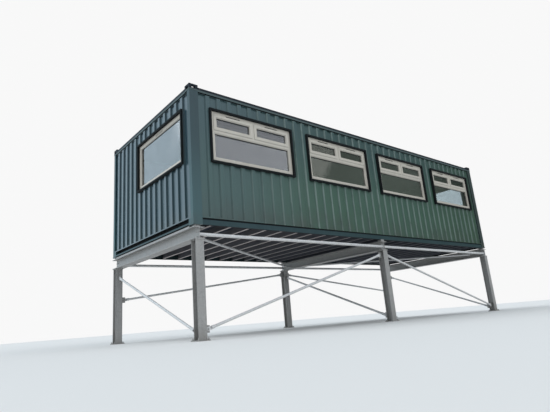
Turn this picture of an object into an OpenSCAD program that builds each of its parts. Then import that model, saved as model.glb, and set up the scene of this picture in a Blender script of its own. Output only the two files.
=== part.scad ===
// Portable site cabin with a steel container-type body, standing on a braced galvanised frame.
// Millimetres. +Z up, origin on the ground at the middle of the footprint.
// The long front with the row of windows faces -Y, and the near end faces -X.

/* [Cabin frame] */
// Length over the corner castings
cabin_l = 10000; // [9900:50:12000]
// Width over the corner castings
cabin_w = 3700; // [3300:50:4000]
// Height over the corner castings
cabin_h = 2591; // [2500:1:2900]
// Corner casting, along the length
casting_l = 178; // [150:1:200]
// Corner casting, across the width
casting_w = 162; // [140:1:180]
// Corner casting height
casting_h = 118; // [100:1:130]
// Side wall of a corner casting
casting_side_t = 16; // [10:1:24]
// Top and bottom wall of a corner casting
casting_face_t = 28; // [20:1:32]
// Lifting slot length in a casting
slot_l = 124; // [100:1:130]
// Lifting slot width in a casting
slot_w = 63; // [50:1:70]
// Side hole length in a casting
side_hole_l = 80; // [60:1:100]
// Side hole width in a casting
side_hole_w = 52; // [40:1:58]
// Posts and top rails lie this far behind the castings
frame_recess = 4; // [2:0.5:8]
// Corner post width on the ends; on the long sides it is as wide as the castings
post_w = 90; // [70:1:120]
// Corner post plate thickness
post_t = 6; // [4:0.5:8]
// Top rail height
top_rail_h = 83; // [72:1:100]
// Depth of the top rails into the wall
top_rail_d = 60; // [50:1:80]
// Wall of the top rails
top_rail_t = 3; // [2:0.5:5]
// Drop from the casting top to the rail top
top_rail_drop = 46; // [30:1:60]
// Shadow groove between the top rails and the wall sheets under them
head_groove_h = 26; // [16:1:34]
// Shadow groove between a bottom side rail and the foot of the wall sheet
groove_h = 30; // [20:1:36]
// Bottom side rail flange width
bottom_rail_d = 50; // [40:1:60]
// Bottom side rail thickness
bottom_rail_t = 4.5; // [3:0.5:8]
// Bottom side rail lies this far behind the castings
bottom_rail_recess = 14; // [8:1:20]
// Lift of the rails above the casting underside
rail_lift = 5; // [3:1:15]
// Height of the bottom frame from the rails' underside to the wall sheets
bottom_frame_h = 141; // [125:1:160]
// Bottom end sill flange width
sill_d = 100; // [60:1:110]
// Bottom end sill thickness
sill_t = 6; // [4:0.5:8]
// Upturned lip of the bottom end sill
sill_lip_h = 32; // [20:1:40]
// Lift of the end sill's bottom flange above the rails' underside
sill_lift = 13; // [8:1:20]

/* [Walls, roof and floor] */
// Wall sheet thickness
skin_t = 2; // [1.5:0.1:3]
// Wall sheets lie this far behind the castings
skin_recess = 6; // [5:0.5:10]
// Depth of the wall corrugation
wave_d = 28; // [20:1:40]
// Pitch of the wall corrugation
wave_pitch = 237; // [200:0.5:300]
// Outer flat of each wall corrugation
wave_crest = 75; // [50:1:90]
// Run of each steep side of a wall corrugation
wave_slope = 20; // [15:1:40]
// Shift of the end walls' corrugation away from the front
end_wave_shift = 8; // [0:1:15]
// Folded lip under the wall sheets
sheet_foot_h = 22; // [12:1:28]
// Roof corrugation depth
roof_wave_d = 20; // [12:1:25]
// Roof corrugation pitch
roof_pitch = 209; // [180:1:260]
// Raised flat of each roof corrugation
roof_crest = 85; // [60:1:100]
// Run of each sloping side of a roof corrugation
roof_slope = 20; // [15:1:40]
// Roof sheet lies this far under the rail tops
roof_drop = 8; // [4:1:14]
// Insulated lining thickness
lining_t = 66; // [50:1:80]
// Gap left beside pieces that are fitted or stood in place
seat_gap = 0.3; // [0.1:0.1:0.8]
// Height of the ceiling underside above the casting underside
ceiling_z = 2440; // [2350:5:2450]
// Floor deck thickness
deck_t = 28; // [20:1:36]
// Cross member depth
cross_member_h = 105; // [80:1:112]
// Cross member flange width
cross_member_w = 45; // [35:1:60]
// Cross member thickness
cross_member_t = 4; // [3:0.5:6]
// Cross member spacing
cross_member_pitch = 400; // [300:10:600]
// Least distance from the cabin end to a cross member
cross_member_end = 380; // [320:10:450]

/* [Windows] */
// Windows along the front, evenly spaced
window_count = 4; // [2:1:4]
// Clear edge of the first front window from the cabin end
window_end = 430.5; // [400:0.5:700]
// Clear width inside the steel surround
window_w = 1912; // [1500:1:1950]
// Clear height inside the steel surround
window_h = 972; // [850:1:1050]
// Clear bottom edge above the casting underside
window_sill = 1187; // [1000:1:1250]
// Clear edge of the end window from the cabin's front
end_window_edge = 319; // [280:1:500]
// Face width of the steel surround
trim_face = 38; // [30:1:50]
// Steel surround stands this far in front of the castings
trim_proud = 30; // [15:1:45]
// Steel surround thickness
trim_t = 3; // [2:0.5:4]
// Depth of the surround's inner sleeve behind the castings
sleeve_d = 48; // [45:1:60]
// Gap between the sleeve and the cut in the wall
sleeve_gap = 1; // [0.5:0.5:3]
// Window frame lies this far behind the castings
frame_set = 20; // [15:1:28]
// Window frame depth
frame_d = 70; // [60:1:75]
// Face width of the window frame, transom and mullion
frame_face = 68; // [55:1:80]
// Glazing lip around each pane
glazing_lip = 16; // [12:1:20]
// Front edge of the glazing lip behind the frame face
lip_set = 8; // [4:1:12]
// Front glazing lip thickness
lip_t = 14; // [8:1:18]
// Sealed glass unit thickness
glass_t = 24; // [20:1:28]
// Transom centre above the clear bottom edge
transom_z = 583; // [500:1:620]
// Opening light stands this far in front of the window frame
sash_proud = 10; // [6:1:14]
// Opening light depth
sash_d = 62; // [56:1:66]
// Opening light face width inside the window frame
sash_face = 42; // [30:1:50]
// Overlap of the opening light on the window frame
sash_lap = 8; // [5:1:12]
// Working gap around the opening light
sash_gap = 3; // [2:0.5:5]
// Ventilator hood length
vent_l = 330; // [250:5:400]
// Ventilator hood height
vent_h = 18; // [12:1:24]
// Ventilator hood depth
vent_d = 9; // [6:1:14]

/* [Door] */
// Clear width inside the door's steel surround
door_w = 960; // [850:5:1100]
// Clear height inside the door's steel surround
door_h = 2080; // [1950:5:2120]
// Door centre from the middle of the rear side
door_x = 2300; // [1500:10:3200]
// Clear bottom edge of the doorway above the casting underside
door_sill = 172; // [168:1:180]
// Door frame face width
door_frame_face = 48; // [40:1:60]
// Stop that the door closes against
door_stop = 15; // [10:1:20]
// Door leaf thickness
leaf_t = 44; // [38:1:48]
// Gap around the door leaf
leaf_gap = 3; // [2:0.5:5]
// Hinges on the door
hinge_count = 3; // [2:1:4]
// Hinge knuckle diameter
hinge_d = 18; // [14:1:24]
// Hinge knuckle length
hinge_h = 110; // [80:5:140]
// Hinge flap width
hinge_flap_w = 36; // [30:1:50]
// Hinge flap thickness
hinge_flap_t = 3; // [2:0.5:4]
// Lever handle length
lever_l = 125; // [100:1:150]
// Lever handle diameter
lever_d = 18; // [14:1:22]
// Handle plate width
handle_plate_w = 42; // [30:1:60]
// Handle plate height
handle_plate_h = 200; // [150:1:260]
// Handle plate thickness
handle_plate_t = 4; // [2:0.5:6]

/* [Stand] */
// Height from the ground to the casting underside
stand_h = 1860; // [1500:10:2200]
// Packer height between a casting and the beam
packer_h = 40; // [20:1:60]
// Packer size on plan
packer_w = 100; // [80:1:130]
// Distance of the packing strips on the end beams from the cabin's long sides
strip_end = 160; // [140:5:300]
// Packing strip width
strip_w = 60; // [40:1:80]
// Packing strip height
strip_h = 35; // [15:1:38]
// Packing strips lie this far behind the castings
strip_recess = 10; // [4:1:20]
// Cross beam depth
beam_h = 203; // [180:1:230]
// Cross beam flange width
beam_w = 204; // [180:1:210]
// Cross beam flange thickness
beam_flange_t = 11; // [8:0.5:14]
// Cross beam web thickness
beam_web_t = 7.2; // [6:0.2:10]
// Root radius of the rolled sections
root_r = 10; // [6:1:12]
// End beam web from the cabin end
beam_inset = 97; // [94:1:150]
// Beam ends stand this far in front of the cabin's long sides
beam_overhang = 15; // [0:1:30]
// Column depth
column_h = 152; // [140:1:160]
// Column flange width
column_w = 152; // [140:1:160]
// Column flange thickness
column_flange_t = 7; // [6:0.5:10]
// Column web thickness
column_web_t = 6; // [5:0.5:8]
// Column centre from the cabin's long side
column_inset = 61; // [56:1:150]
// Cap plate size
cap_w = 170; // [160:1:204]
// Cap plate thickness
cap_t = 12; // [8:1:20]
// Base plate size
base_w = 230; // [220:1:240]
// Base plate thickness
base_t = 15; // [10:1:25]
// Holding-down hole diameter
base_hole_d = 18; // [14:1:22]
// Holding-down hole spacing
base_hole_pitch = 180; // [176:1:186]

/* [Bracing] */
// Tie tube diameter
tie_d = 60.3; // [48.3:0.1:76.1]
// Tie tube wall
tie_t = 4; // [3:0.5:6]
// Tie tube centre from the cabin's long side
tie_inset = 48; // [45:1:80]
// Tie tube centre under the middle of the beam
tie_drop = 16; // [0:1:18]
// Tie end plate width
tie_plate_w = 90; // [80:1:96]
// Tie end plate height
tie_plate_h = 110; // [90:1:120]
// Tie end plate thickness
tie_plate_t = 8; // [6:1:12]
// Brace tube diameter
brace_d = 48.3; // [42.4:0.1:60.3]
// Brace tube wall
brace_t = 3.2; // [2.5:0.1:5]
// Flat tab width at a brace end
tab_w = 60; // [50:1:80]
// Flat tab and cleat thickness
tab_t = 10; // [6:1:12]
// Length of tab between the bolt centre and the tube end
tab_l = 60; // [40:1:100]
// Bolt hole diameter in tabs and cleats
bolt_hole_d = 18; // [14:1:20]
// Cleat height
cleat_h = 120; // [100:5:160]
// Distance of a brace bolt from the steel that its cleat is welded to
cleat_reach = 58; // [50:1:80]
// Lower bolt of the front diagonals above the ground
front_foot_z = 175; // [120:5:400]
// Lower bolt of the rear diagonals above the ground
rear_foot_z = 930; // [500:5:1000]
// Upper bolt of the long diagonals below the beam underside
diagonal_drop = 117; // [110:1:200]
// Lower bolt of the cross braces above the ground
cross_foot_z = 150; // [110:5:400]
// Upper bolt of the cross braces below the beam underside
cross_drop = 217; // [150:1:300]
// Bolt of a plan brace from the cabin's long side
plan_brace_y = 330; // [300:5:500]

/* [Hidden] */
$fn = 48;

paint_green = [0.09, 0.20, 0.19];
surround_dark = [0.05, 0.08, 0.09];
frame_white = [0.90, 0.89, 0.84];
glass_tint = [0.62, 0.72, 0.76, 0.6];
galvanised = [0.62, 0.65, 0.66];
timber = [0.72, 0.58, 0.42];
lining_white = [0.86, 0.86, 0.83];

// Half sizes and levels that everything else hangs from
half_l = cabin_l / 2;
half_w = cabin_w / 2;
z_base = stand_h;
z_rail_bottom = z_base + rail_lift;
z_sheet = z_rail_bottom + bottom_frame_h;
z_floor = z_sheet - sheet_foot_h;
z_rail_top = z_floor - groove_h;
z_sill_bottom = z_rail_bottom + sill_lift;
z_top = z_base + cabin_h;
z_casting_top = z_base + casting_h;
z_casting_bottom = z_top - casting_h;
z_top_rail_top = z_top - top_rail_drop;
z_top_rail_bottom = z_top_rail_top - top_rail_h;
z_sheet_top = z_top_rail_bottom - head_groove_h;
z_deck_bottom = z_floor + seat_gap;
z_deck_top = z_deck_bottom + deck_t;
z_ceiling = z_base + ceiling_z;
z_roof_top = z_top_rail_top - roof_drop;
z_ceiling_top = z_roof_top - roof_wave_d - skin_t - seat_gap;
z_window = z_base + window_sill;
z_door = z_base + door_sill;

// The inside of the corrugation, and the linings that fill the wall from there
sheet_y = skin_recess + wave_d + skin_t;
lining_y = sheet_y + seat_gap;
room_inset = lining_y + lining_t;
rail_inner = frame_recess + top_rail_d;
wall_cut = trim_t + sleeve_gap;
z_lining = z_deck_top + seat_gap;
z_lining_top = z_ceiling - seat_gap;

// Windows
window_span = cabin_l - 2 * window_end - window_w;
window_xs = [for (i = [0:window_count - 1]) (i / (window_count - 1) - 1 / 2) * window_span];
end_window_shift = half_w - end_window_edge - window_w / 2;
frame_w = window_w - 2 * seat_gap;
frame_h = window_h - 2 * seat_gap;
light_z0 = transom_z + frame_face / 2;
light_h = frame_h + seat_gap - frame_face - light_z0;
light_w = (frame_w - 3 * frame_face) / 2;
light_x = (light_w + frame_face) / 2;
pane_h = transom_z - frame_face / 2 - frame_face - seat_gap;
pane_w = frame_w - 2 * frame_face;

// Door
leaf_w = door_w - 2 * seat_gap - 2 * door_frame_face - 2 * leaf_gap;
leaf_h = door_h - 2 * seat_gap - 2 * door_frame_face - 2 * leaf_gap;

// Stand
z_beam_top = z_base - packer_h;
z_beam_bottom = z_beam_top - beam_h;
z_beam_mid = z_beam_top - beam_h / 2;
z_column_top = z_beam_bottom - cap_t;
end_frame_x = half_l - beam_inset;
frame_xs = [-end_frame_x, 0, end_frame_x];
column_y = half_w - column_inset;
z_head = z_beam_bottom - diagonal_drop;
z_cross_head = z_beam_bottom - cross_drop;
plan_y = half_w - plan_brace_y;

// Distances of the brace bolts from a column's web and from a beam's web
column_reach = column_w / 2 + cleat_reach;
beam_reach = beam_w / 2 + cleat_reach;
// Bolt of a cross brace, from the middle of the stand
cross_y = column_y - column_h / 2 - cleat_reach;
// A brace's tab lies this far from the middle of its cleat
lap = tab_t / 2 + seat_gap;
// Cuts run this far past the faces that they open
over = 1;

module at_both_ends() {
    children();
    mirror([1, 0, 0]) children();
}

module at_both_sides() {
    children();
    mirror([0, 1, 0]) children();
}

module at_four_corners() {
    at_both_ends() at_both_sides() children();
}

// Stadium-shaped hole outline
module stadium(l, w) {
    square([l - w, w], center = true);
    for (s = [-1, 1]) translate([s * (l - w) / 2, 0]) circle(d = w);
}

// Folded sheet outline: u runs along the wall, and the corrugation goes to +v, with a recess at both ends
function wave_points(length, pitch, crest, slope, depth, t, shift = 0) =
    let (last = round((length + crest) / pitch) - 2)
    let (first = (length - crest - last * pitch) / 2 + shift)
    let (k = t * tan(atan(depth / slope) / 2))
    let (starts = [for (i = [0:last]) first + i * pitch])
    let (outer = [for (s = starts) each [[s - slope, depth], [s, 0], [s + crest, 0], [s + crest + slope, depth]]])
    let (inner = [for (s = starts) each [[s - slope + k, depth + t], [s + k, t],
        [s + crest - k, t], [s + crest + slope - k, depth + t]]])
    concat([[0, depth]], outer, [[length, depth], [length, depth + t]],
        [for (i = [len(inner) - 1:-1:0]) inner[i]], [[0, depth + t]]);

module wave_sheet(length, pitch, crest, slope, depth, t, shift = 0) {
    translate([-length / 2, 0]) polygon(wave_points(length, pitch, crest, slope, depth, t, shift));
}

// Rectangular ring around a clear opening, standing on z = 0, from y0 to y1 behind the wall's outer plane
module ring(clear_w, clear_h, face, y0, y1) {
    translate([0, y1, 0]) rotate([90, 0, 0]) linear_extrude(y1 - y0) difference() {
        translate([-clear_w / 2 - face, -face]) square([clear_w + 2 * face, clear_h + 2 * face]);
        translate([-clear_w / 2, 0]) square([clear_w, clear_h]);
    }
}

// Places a wall fitting, drawn in front of the y = 0 plane, on the front or on an end
module on_front(x, z) {
    translate([x, -half_w, z]) children();
}

module on_rear(x, z) {
    translate([x, half_w, z]) rotate([0, 0, 180]) children();
}

module on_near_end(y, z) {
    translate([-half_l, y, z]) rotate([0, 0, -90]) children();
}

// Rolled H section, flanges at the top and bottom of the outline
module h_section(h, w, flange_t, web_t) {
    for (s = [-1, 1]) {
        translate([-w / 2, s * (h - flange_t) / 2 - flange_t / 2]) square([w, flange_t]);
    }
    translate([-web_t / 2, -h / 2]) square([web_t, h]);
    for (sx = [0, 1], sy = [0, 1]) mirror([sx, 0]) mirror([0, sy])
        translate([web_t / 2, h / 2 - flange_t - root_r]) difference() {
            square(root_r);
            translate([root_r, 0]) circle(root_r);
        }
}

// Corner post: two plates meeting at the corner, each with a lip folded in beside the wall sheet
module corner_post() {
    lip_d = sheet_y - frame_recess;
    translate([frame_recess - half_l, frame_recess - half_w, 0]) {
        translate([0, 0, z_casting_top]) {
            cube([casting_l - frame_recess, post_t, z_casting_bottom - z_casting_top]);
            cube([post_t, post_w - frame_recess, z_casting_bottom - z_casting_top]);
            cube([post_t, casting_w - frame_recess, z_floor - z_casting_top]);
        }
        translate([casting_l - frame_recess - post_t, 0, z_sheet])
            cube([post_t, lip_d, z_casting_bottom - z_sheet]);
        translate([0, post_w - frame_recess - post_t, z_sheet])
            cube([lip_d, post_t, z_casting_bottom - z_sheet]);
    }
}

module corner_posts() {
    color(paint_green) at_four_corners() corner_post();
}

module casting_cavity() {
    translate([casting_side_t, casting_side_t, casting_face_t])
        cube([casting_l - 2 * casting_side_t, casting_w - 2 * casting_side_t, casting_h - 2 * casting_face_t]);
}

// Hollow casting with a lifting slot in its top and an oval hole in each side
module top_casting() {
    difference() {
        cube([casting_l, casting_w, casting_h]);
        casting_cavity();
        translate([casting_l / 2, casting_w / 2, casting_h / 2])
            linear_extrude(casting_h / 2 + over) stadium(slot_l, slot_w);
        translate([casting_l / 2, casting_w / 2, casting_h / 2]) rotate([90, 0, 0])
            linear_extrude(casting_w) stadium(side_hole_l, side_hole_w);
        translate([casting_l / 2, casting_w / 2, casting_h / 2]) rotate([0, -90, 0]) rotate([0, 0, 90])
            linear_extrude(casting_l) stadium(side_hole_l, side_hole_w);
    }
}

// Closed casting: a base with a slot in it, under a body that is flush with the corner post
module bottom_casting() {
    difference() {
        union() {
            cube([casting_l, casting_w, casting_face_t]);
            translate([frame_recess, frame_recess, 0])
                cube([casting_l - frame_recess, casting_w - frame_recess, casting_h]);
        }
        casting_cavity();
        translate([casting_l / 2, casting_w / 2, -over])
            linear_extrude(casting_h / 2 + over) stadium(slot_l, slot_w);
    }
}

module top_corner_castings() {
    color(paint_green) at_four_corners() translate([-half_l, -half_w, z_casting_bottom]) top_casting();
}

module bottom_corner_castings() {
    color(paint_green) at_four_corners() translate([-half_l, -half_w, z_base]) bottom_casting();
}

// Box section along x between the castings, with a downstand behind the shadow groove
module top_rail(rail_l, downstand_l, downstand_top) {
    translate([-rail_l / 2, frame_recess, z_top_rail_bottom]) difference() {
        cube([rail_l, top_rail_d, top_rail_h]);
        translate([-over, top_rail_t, top_rail_t])
            cube([rail_l + 2 * over, top_rail_d - 2 * top_rail_t, top_rail_h - 2 * top_rail_t]);
    }
    translate([-downstand_l / 2, sheet_y - top_rail_t, z_sheet_top])
        cube([downstand_l, top_rail_t, downstand_top - z_sheet_top]);
}

module top_side_rails() {
    rail_l = cabin_l - 2 * casting_l - 2 * seat_gap;
    color(paint_green) at_both_sides() on_front(0, 0) top_rail(rail_l, rail_l, z_top_rail_bottom + top_rail_t);
}

module top_end_rails() {
    rail_l = cabin_w - 2 * casting_w - 2 * seat_gap;
    downstand_l = cabin_w - 2 * post_w - 2 * seat_gap;
    color(paint_green) at_both_ends() on_near_end(0, 0)
        top_rail(rail_l, downstand_l, z_casting_bottom - seat_gap);
}

// Channel along x, open towards the floor, with an upstand behind the shadow groove
module bottom_side_rail() {
    rail_l = cabin_l - 2 * casting_l - 2 * seat_gap;
    rail_h = z_rail_top - z_rail_bottom;
    translate([-rail_l / 2, bottom_rail_recess - half_w, z_rail_bottom]) difference() {
        cube([rail_l, bottom_rail_d, rail_h]);
        translate([-over, bottom_rail_t, bottom_rail_t])
            cube([rail_l + 2 * over, bottom_rail_d, rail_h - 2 * bottom_rail_t]);
    }
    translate([-rail_l / 2, sheet_y - bottom_rail_t - half_w, z_rail_top - bottom_rail_t])
        cube([rail_l, bottom_rail_t, z_sheet - skin_t - z_rail_top + bottom_rail_t]);
}

module bottom_side_rails() {
    color(paint_green) at_both_sides() bottom_side_rail();
}

// Channel across the end, open outwards, with an upturned lip on its bottom flange
module bottom_end_sill() {
    sill_l = cabin_w - 2 * casting_w - 2 * seat_gap;
    top_flange_y = skin_recess + skin_t + seat_gap;
    inner_y = frame_recess + sill_d;
    translate([-sill_l / 2, 0, 0]) rotate([90, 0, 90]) linear_extrude(sill_l) polygon([
        [inner_y, z_rail_bottom], [inner_y, z_sheet - skin_t], [top_flange_y, z_sheet - skin_t],
        [top_flange_y, z_sheet - skin_t - sill_t], [inner_y - sill_t, z_sheet - skin_t - sill_t],
        [inner_y - sill_t, z_sill_bottom + sill_t], [frame_recess + sill_t, z_sill_bottom + sill_t],
        [frame_recess + sill_t, z_sill_bottom + sill_lip_h], [frame_recess, z_sill_bottom + sill_lip_h],
        [frame_recess, z_sill_bottom], [inner_y - sill_t, z_sill_bottom], [inner_y - sill_t, z_rail_bottom]]);
}

module bottom_end_sills() {
    color(paint_green) at_both_ends() on_near_end(0, 0) bottom_end_sill();
}

// Cut through the wall sheet, a little larger than the surround's sleeve
module sheet_cut(w, h) {
    translate([-w / 2 - wall_cut, -trim_proud, -wall_cut])
        cube([w + 2 * wall_cut, trim_proud + lining_y, h + 2 * wall_cut]);
}

// Wall sheet along x between the corner posts, on a folded foot and under a closing flange
module wall_sheet(sheet_l, shift) {
    flange = [sheet_l, sheet_y - skin_recess, skin_t];
    translate([0, skin_recess, z_sheet]) {
        linear_extrude(z_sheet_top - z_sheet)
            wave_sheet(sheet_l, wave_pitch, wave_crest, wave_slope, wave_d, skin_t, shift);
        translate([-sheet_l / 2, 0, -skin_t]) cube(flange);
        translate([-sheet_l / 2, 0, -sheet_foot_h]) cube([sheet_l, skin_t, sheet_foot_h]);
        translate([-sheet_l / 2, 0, z_sheet_top - z_sheet - skin_t]) cube(flange);
    }
}

module side_sheet() {
    on_front(0, 0) wall_sheet(cabin_l - 2 * casting_l, 0);
}

module front_wall() {
    color(paint_green) difference() {
        side_sheet();
        for (x = window_xs) on_front(x, z_window) sheet_cut(window_w, window_h);
    }
}

module rear_wall() {
    color(paint_green) difference() {
        mirror([0, 1, 0]) side_sheet();
        on_rear(door_x, z_door) sheet_cut(door_w, door_h);
    }
}

module end_wall() {
    difference() {
        on_near_end(0, 0) wall_sheet(cabin_w - 2 * post_w, -end_wave_shift);
        on_near_end(-end_window_shift, z_window) sheet_cut(window_w, window_h);
    }
}

module near_end_wall() {
    color(paint_green) end_wall();
}

module far_end_wall() {
    color(paint_green) mirror([1, 0, 0]) end_wall();
}

// Room that the roof and the ceiling leave around the top castings
module top_casting_notches() {
    at_four_corners() translate([-half_l, -half_w, z_casting_bottom - seat_gap])
        cube([casting_l + seat_gap, casting_w + seat_gap, casting_h]);
}

module roof_panel() {
    roof_l = cabin_l - 2 * rail_inner;
    roof_w = cabin_w - 2 * rail_inner;
    color(paint_green) difference() {
        translate([0, roof_w / 2, z_roof_top]) rotate([90, 0, 0]) mirror([0, 1, 0]) linear_extrude(roof_w)
            wave_sheet(roof_l, roof_pitch, roof_crest, roof_slope, roof_wave_d, skin_t);
        top_casting_notches();
    }
}

// Floor channels across the width, spaced evenly about the middle
module cross_members() {
    n = floor((cabin_l - 2 * cross_member_end) / cross_member_pitch) + 1;
    member_l = cabin_w - 2 * (bottom_rail_recess + bottom_rail_d + seat_gap);
    color(galvanised) for (i = [0:n - 1])
        translate([(i - (n - 1) / 2) * cross_member_pitch, 0, z_floor - cross_member_h]) difference() {
            translate([-cross_member_w / 2, -member_l / 2, 0]) cube([cross_member_w, member_l, cross_member_h]);
            translate([-cross_member_w / 2 + cross_member_t, -member_l / 2 - over, cross_member_t])
                cube([cross_member_w, member_l + 2 * over, cross_member_h - 2 * cross_member_t]);
        }
}

module floor_deck() {
    deck_l = cabin_l - 2 * (frame_recess + sill_d + seat_gap);
    deck_w = cabin_w - 2 * lining_y;
    color(timber) translate([-deck_l / 2, -deck_w / 2, z_deck_bottom]) cube([deck_l, deck_w, deck_t]);
}

module ceiling() {
    ceiling_l = cabin_l - 2 * (rail_inner + seat_gap);
    ceiling_w = cabin_w - 2 * (rail_inner + seat_gap);
    color(lining_white) difference() {
        translate([-ceiling_l / 2, -ceiling_w / 2, z_ceiling])
            cube([ceiling_l, ceiling_w, z_ceiling_top - z_ceiling]);
        top_casting_notches();
    }
}

// One lining board between two points along the wall and two levels
module board(u0, u1, z0, z1) {
    translate([u0 + seat_gap / 2, lining_y, z0]) cube([u1 - u0 - seat_gap, lining_t, z1 - z0]);
}

// Boards beside, under and over a row of openings in a wall of the given half length
module lining_boards(half, centres, clear_w, z0, z1) {
    edge = clear_w / 2 + wall_cut;
    n = len(centres);
    for (i = [0:n]) board(
        i == 0 ? -half : centres[i - 1] + edge,
        i == n ? half : centres[i] - edge,
        z_lining, z_lining_top);
    for (c = centres) {
        if (z0 > z_lining) board(c - edge, c + edge, z_lining, z0);
        board(c - edge, c + edge, z1, z_lining_top);
    }
}

module front_wall_lining() {
    color(lining_white) on_front(0, 0) lining_boards(half_l - lining_y, window_xs, window_w,
        z_window - wall_cut, z_window + window_h + wall_cut);
}

module rear_wall_lining() {
    color(lining_white) on_rear(0, 0) lining_boards(half_l - lining_y, [-door_x], door_w,
        z_lining, z_door + door_h + wall_cut);
}

module end_lining() {
    on_near_end(0, 0) lining_boards(half_w - room_inset - seat_gap, [end_window_shift], window_w,
        z_window - wall_cut, z_window + window_h + wall_cut);
}

module end_wall_linings() {
    color(lining_white) at_both_ends() end_lining();
}

// Folded steel surround: a face, an outer return on the wall sheet and a sleeve through the wall
module surround(w, h) {
    inset = trim_face - trim_t;
    ring(w, h, trim_face, -trim_proud, trim_t - trim_proud);
    translate([0, 0, -inset]) ring(w + 2 * inset, h + 2 * inset, trim_t, -trim_proud, skin_recess);
    ring(w, h, trim_t, -trim_proud, sleeve_d);
}

module front_window_surrounds() {
    color(surround_dark) for (x = window_xs) on_front(x, z_window) surround(window_w, window_h);
}

module end_window_surrounds() {
    color(surround_dark) at_both_ends() on_near_end(-end_window_shift, z_window) surround(window_w, window_h);
}

// Lips in front of and behind the glass, around a pane opening whose bottom edge is at z0
module glazing_lips(w, h, z0, set, depth) {
    translate([0, 0, z0 + glazing_lip]) {
        ring(w - 2 * glazing_lip, h - 2 * glazing_lip, glazing_lip, set + lip_set, set + lip_set + lip_t);
        ring(w - 2 * glazing_lip, h - 2 * glazing_lip, glazing_lip,
            set + lip_set + lip_t + glass_t + 2 * seat_gap, set + depth);
    }
}

// Sealed unit standing between the lips
module pane(w, h, z0, set) {
    translate([-w / 2 + seat_gap, set + lip_set + lip_t + seat_gap, z0 + seat_gap])
        cube([w - 2 * seat_gap, glass_t, h - 2 * seat_gap]);
}

module outer_frame() {
    translate([0, 0, seat_gap + frame_face])
        ring(frame_w - 2 * frame_face, frame_h - 2 * frame_face, frame_face, frame_set, frame_set + frame_d);
}

// Frame with a transom, a mullion above it and one fixed pane below
module front_frame() {
    outer_frame();
    translate([-pane_w / 2, frame_set, transom_z - frame_face / 2]) cube([pane_w, frame_d, frame_face]);
    translate([-frame_face / 2, frame_set, light_z0]) cube([frame_face, frame_d, light_h]);
    glazing_lips(pane_w, pane_h, seat_gap + frame_face, frame_set, frame_d);
}

module front_window_frames() {
    color(frame_white) for (x = window_xs) on_front(x, z_window) front_frame();
}

module front_window_glass() {
    color(glass_tint) for (x = window_xs) on_front(x, z_window)
        pane(pane_w, pane_h, seat_gap + frame_face, frame_set);
}

// Top-hung light: a body inside the frame and a flange lapped over it
module opening_light() {
    set = frame_set - sash_proud;
    clear_w = light_w - 2 * sash_face;
    clear_h = light_h - 2 * sash_face;
    translate([0, 0, light_z0 + sash_face]) {
        ring(clear_w, clear_h, sash_face - sash_gap, set, set + sash_d);
        ring(clear_w, clear_h, sash_face + sash_lap, set, frame_set - seat_gap);
    }
    glazing_lips(clear_w, clear_h, light_z0 + sash_face, set, sash_d);
}

module front_opening_lights() {
    color(frame_white) for (x = window_xs, s = [-1, 1]) on_front(x + s * light_x, z_window) opening_light();
}

module opening_light_glass() {
    color(glass_tint) for (x = window_xs, s = [-1, 1]) on_front(x + s * light_x, z_window)
        pane(light_w - 2 * sash_face, light_h - 2 * sash_face, light_z0 + sash_face, frame_set - sash_proud);
}

// Ventilator hood on the frame head, over each opening light
module window_ventilators() {
    head_z = seat_gap + frame_h - (frame_face - sash_lap) / 2;
    color(frame_white) for (x = window_xs, s = [-1, 1]) on_front(x + s * light_x - vent_l / 2, z_window + head_z)
        translate([0, frame_set, 0]) rotate([90, 0, 90]) linear_extrude(vent_l)
            polygon([[0, -vent_h / 2], [-vent_d, -vent_h / 2], [-vent_d, 0], [0, vent_h / 2]]);
}

module end_window_frames() {
    color(frame_white) at_both_ends() on_near_end(-end_window_shift, z_window) {
        outer_frame();
        glazing_lips(pane_w, frame_h - 2 * frame_face, seat_gap + frame_face, frame_set, frame_d);
    }
}

module end_window_glass() {
    color(glass_tint) at_both_ends() on_near_end(-end_window_shift, z_window)
        pane(pane_w, frame_h - 2 * frame_face, seat_gap + frame_face, frame_set);
}

module door_surround() {
    color(surround_dark) on_rear(door_x, z_door) surround(door_w, door_h);
}

// Steel frame with a stop behind the leaf
module door_frame() {
    clear_w = door_w - 2 * seat_gap - 2 * door_frame_face;
    clear_h = door_h - 2 * seat_gap - 2 * door_frame_face;
    color(paint_green) on_rear(door_x, z_door) translate([0, 0, seat_gap + door_frame_face]) {
        ring(clear_w, clear_h, door_frame_face, frame_set, room_inset - seat_gap);
        translate([0, 0, door_stop]) ring(clear_w - 2 * door_stop, clear_h - 2 * door_stop, door_stop,
            frame_set + leaf_t + seat_gap, room_inset - seat_gap);
    }
}

module door_leaf() {
    color(paint_green) on_rear(door_x, z_door)
        translate([-leaf_w / 2, frame_set, seat_gap + door_frame_face + leaf_gap]) cube([leaf_w, leaf_t, leaf_h]);
}

// Knuckles on the closing line, each with a flap on the leaf
module door_hinges() {
    color(galvanised) on_rear(door_x, z_door) for (k = [0:hinge_count - 1])
        translate([-(leaf_w + leaf_gap) / 2, frame_set, (k + 1 / 2) * leaf_h / hinge_count]) {
            translate([0, -hinge_d / 2, 0]) cylinder(h = hinge_h, d = hinge_d);
            translate([0, -hinge_flap_t, 0]) cube([hinge_flap_w, hinge_flap_t, hinge_h]);
        }
}

// Lever on a back plate
module door_handle() {
    reach = frame_set + trim_proud / 2;
    color(galvanised) on_rear(door_x, z_door) translate([leaf_w / 2 - lever_l / 2, frame_set, door_h / 2]) {
        translate([-handle_plate_w / 2, -handle_plate_t, -handle_plate_h / 2])
            cube([handle_plate_w, handle_plate_t, handle_plate_h]);
        rotate([90, 0, 0]) cylinder(h = reach, d = lever_d);
        translate([0, -reach, 0]) sphere(d = lever_d);
        translate([0, -reach, 0]) rotate([0, -90, 0]) cylinder(h = lever_l, d = lever_d);
    }
}

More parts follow.
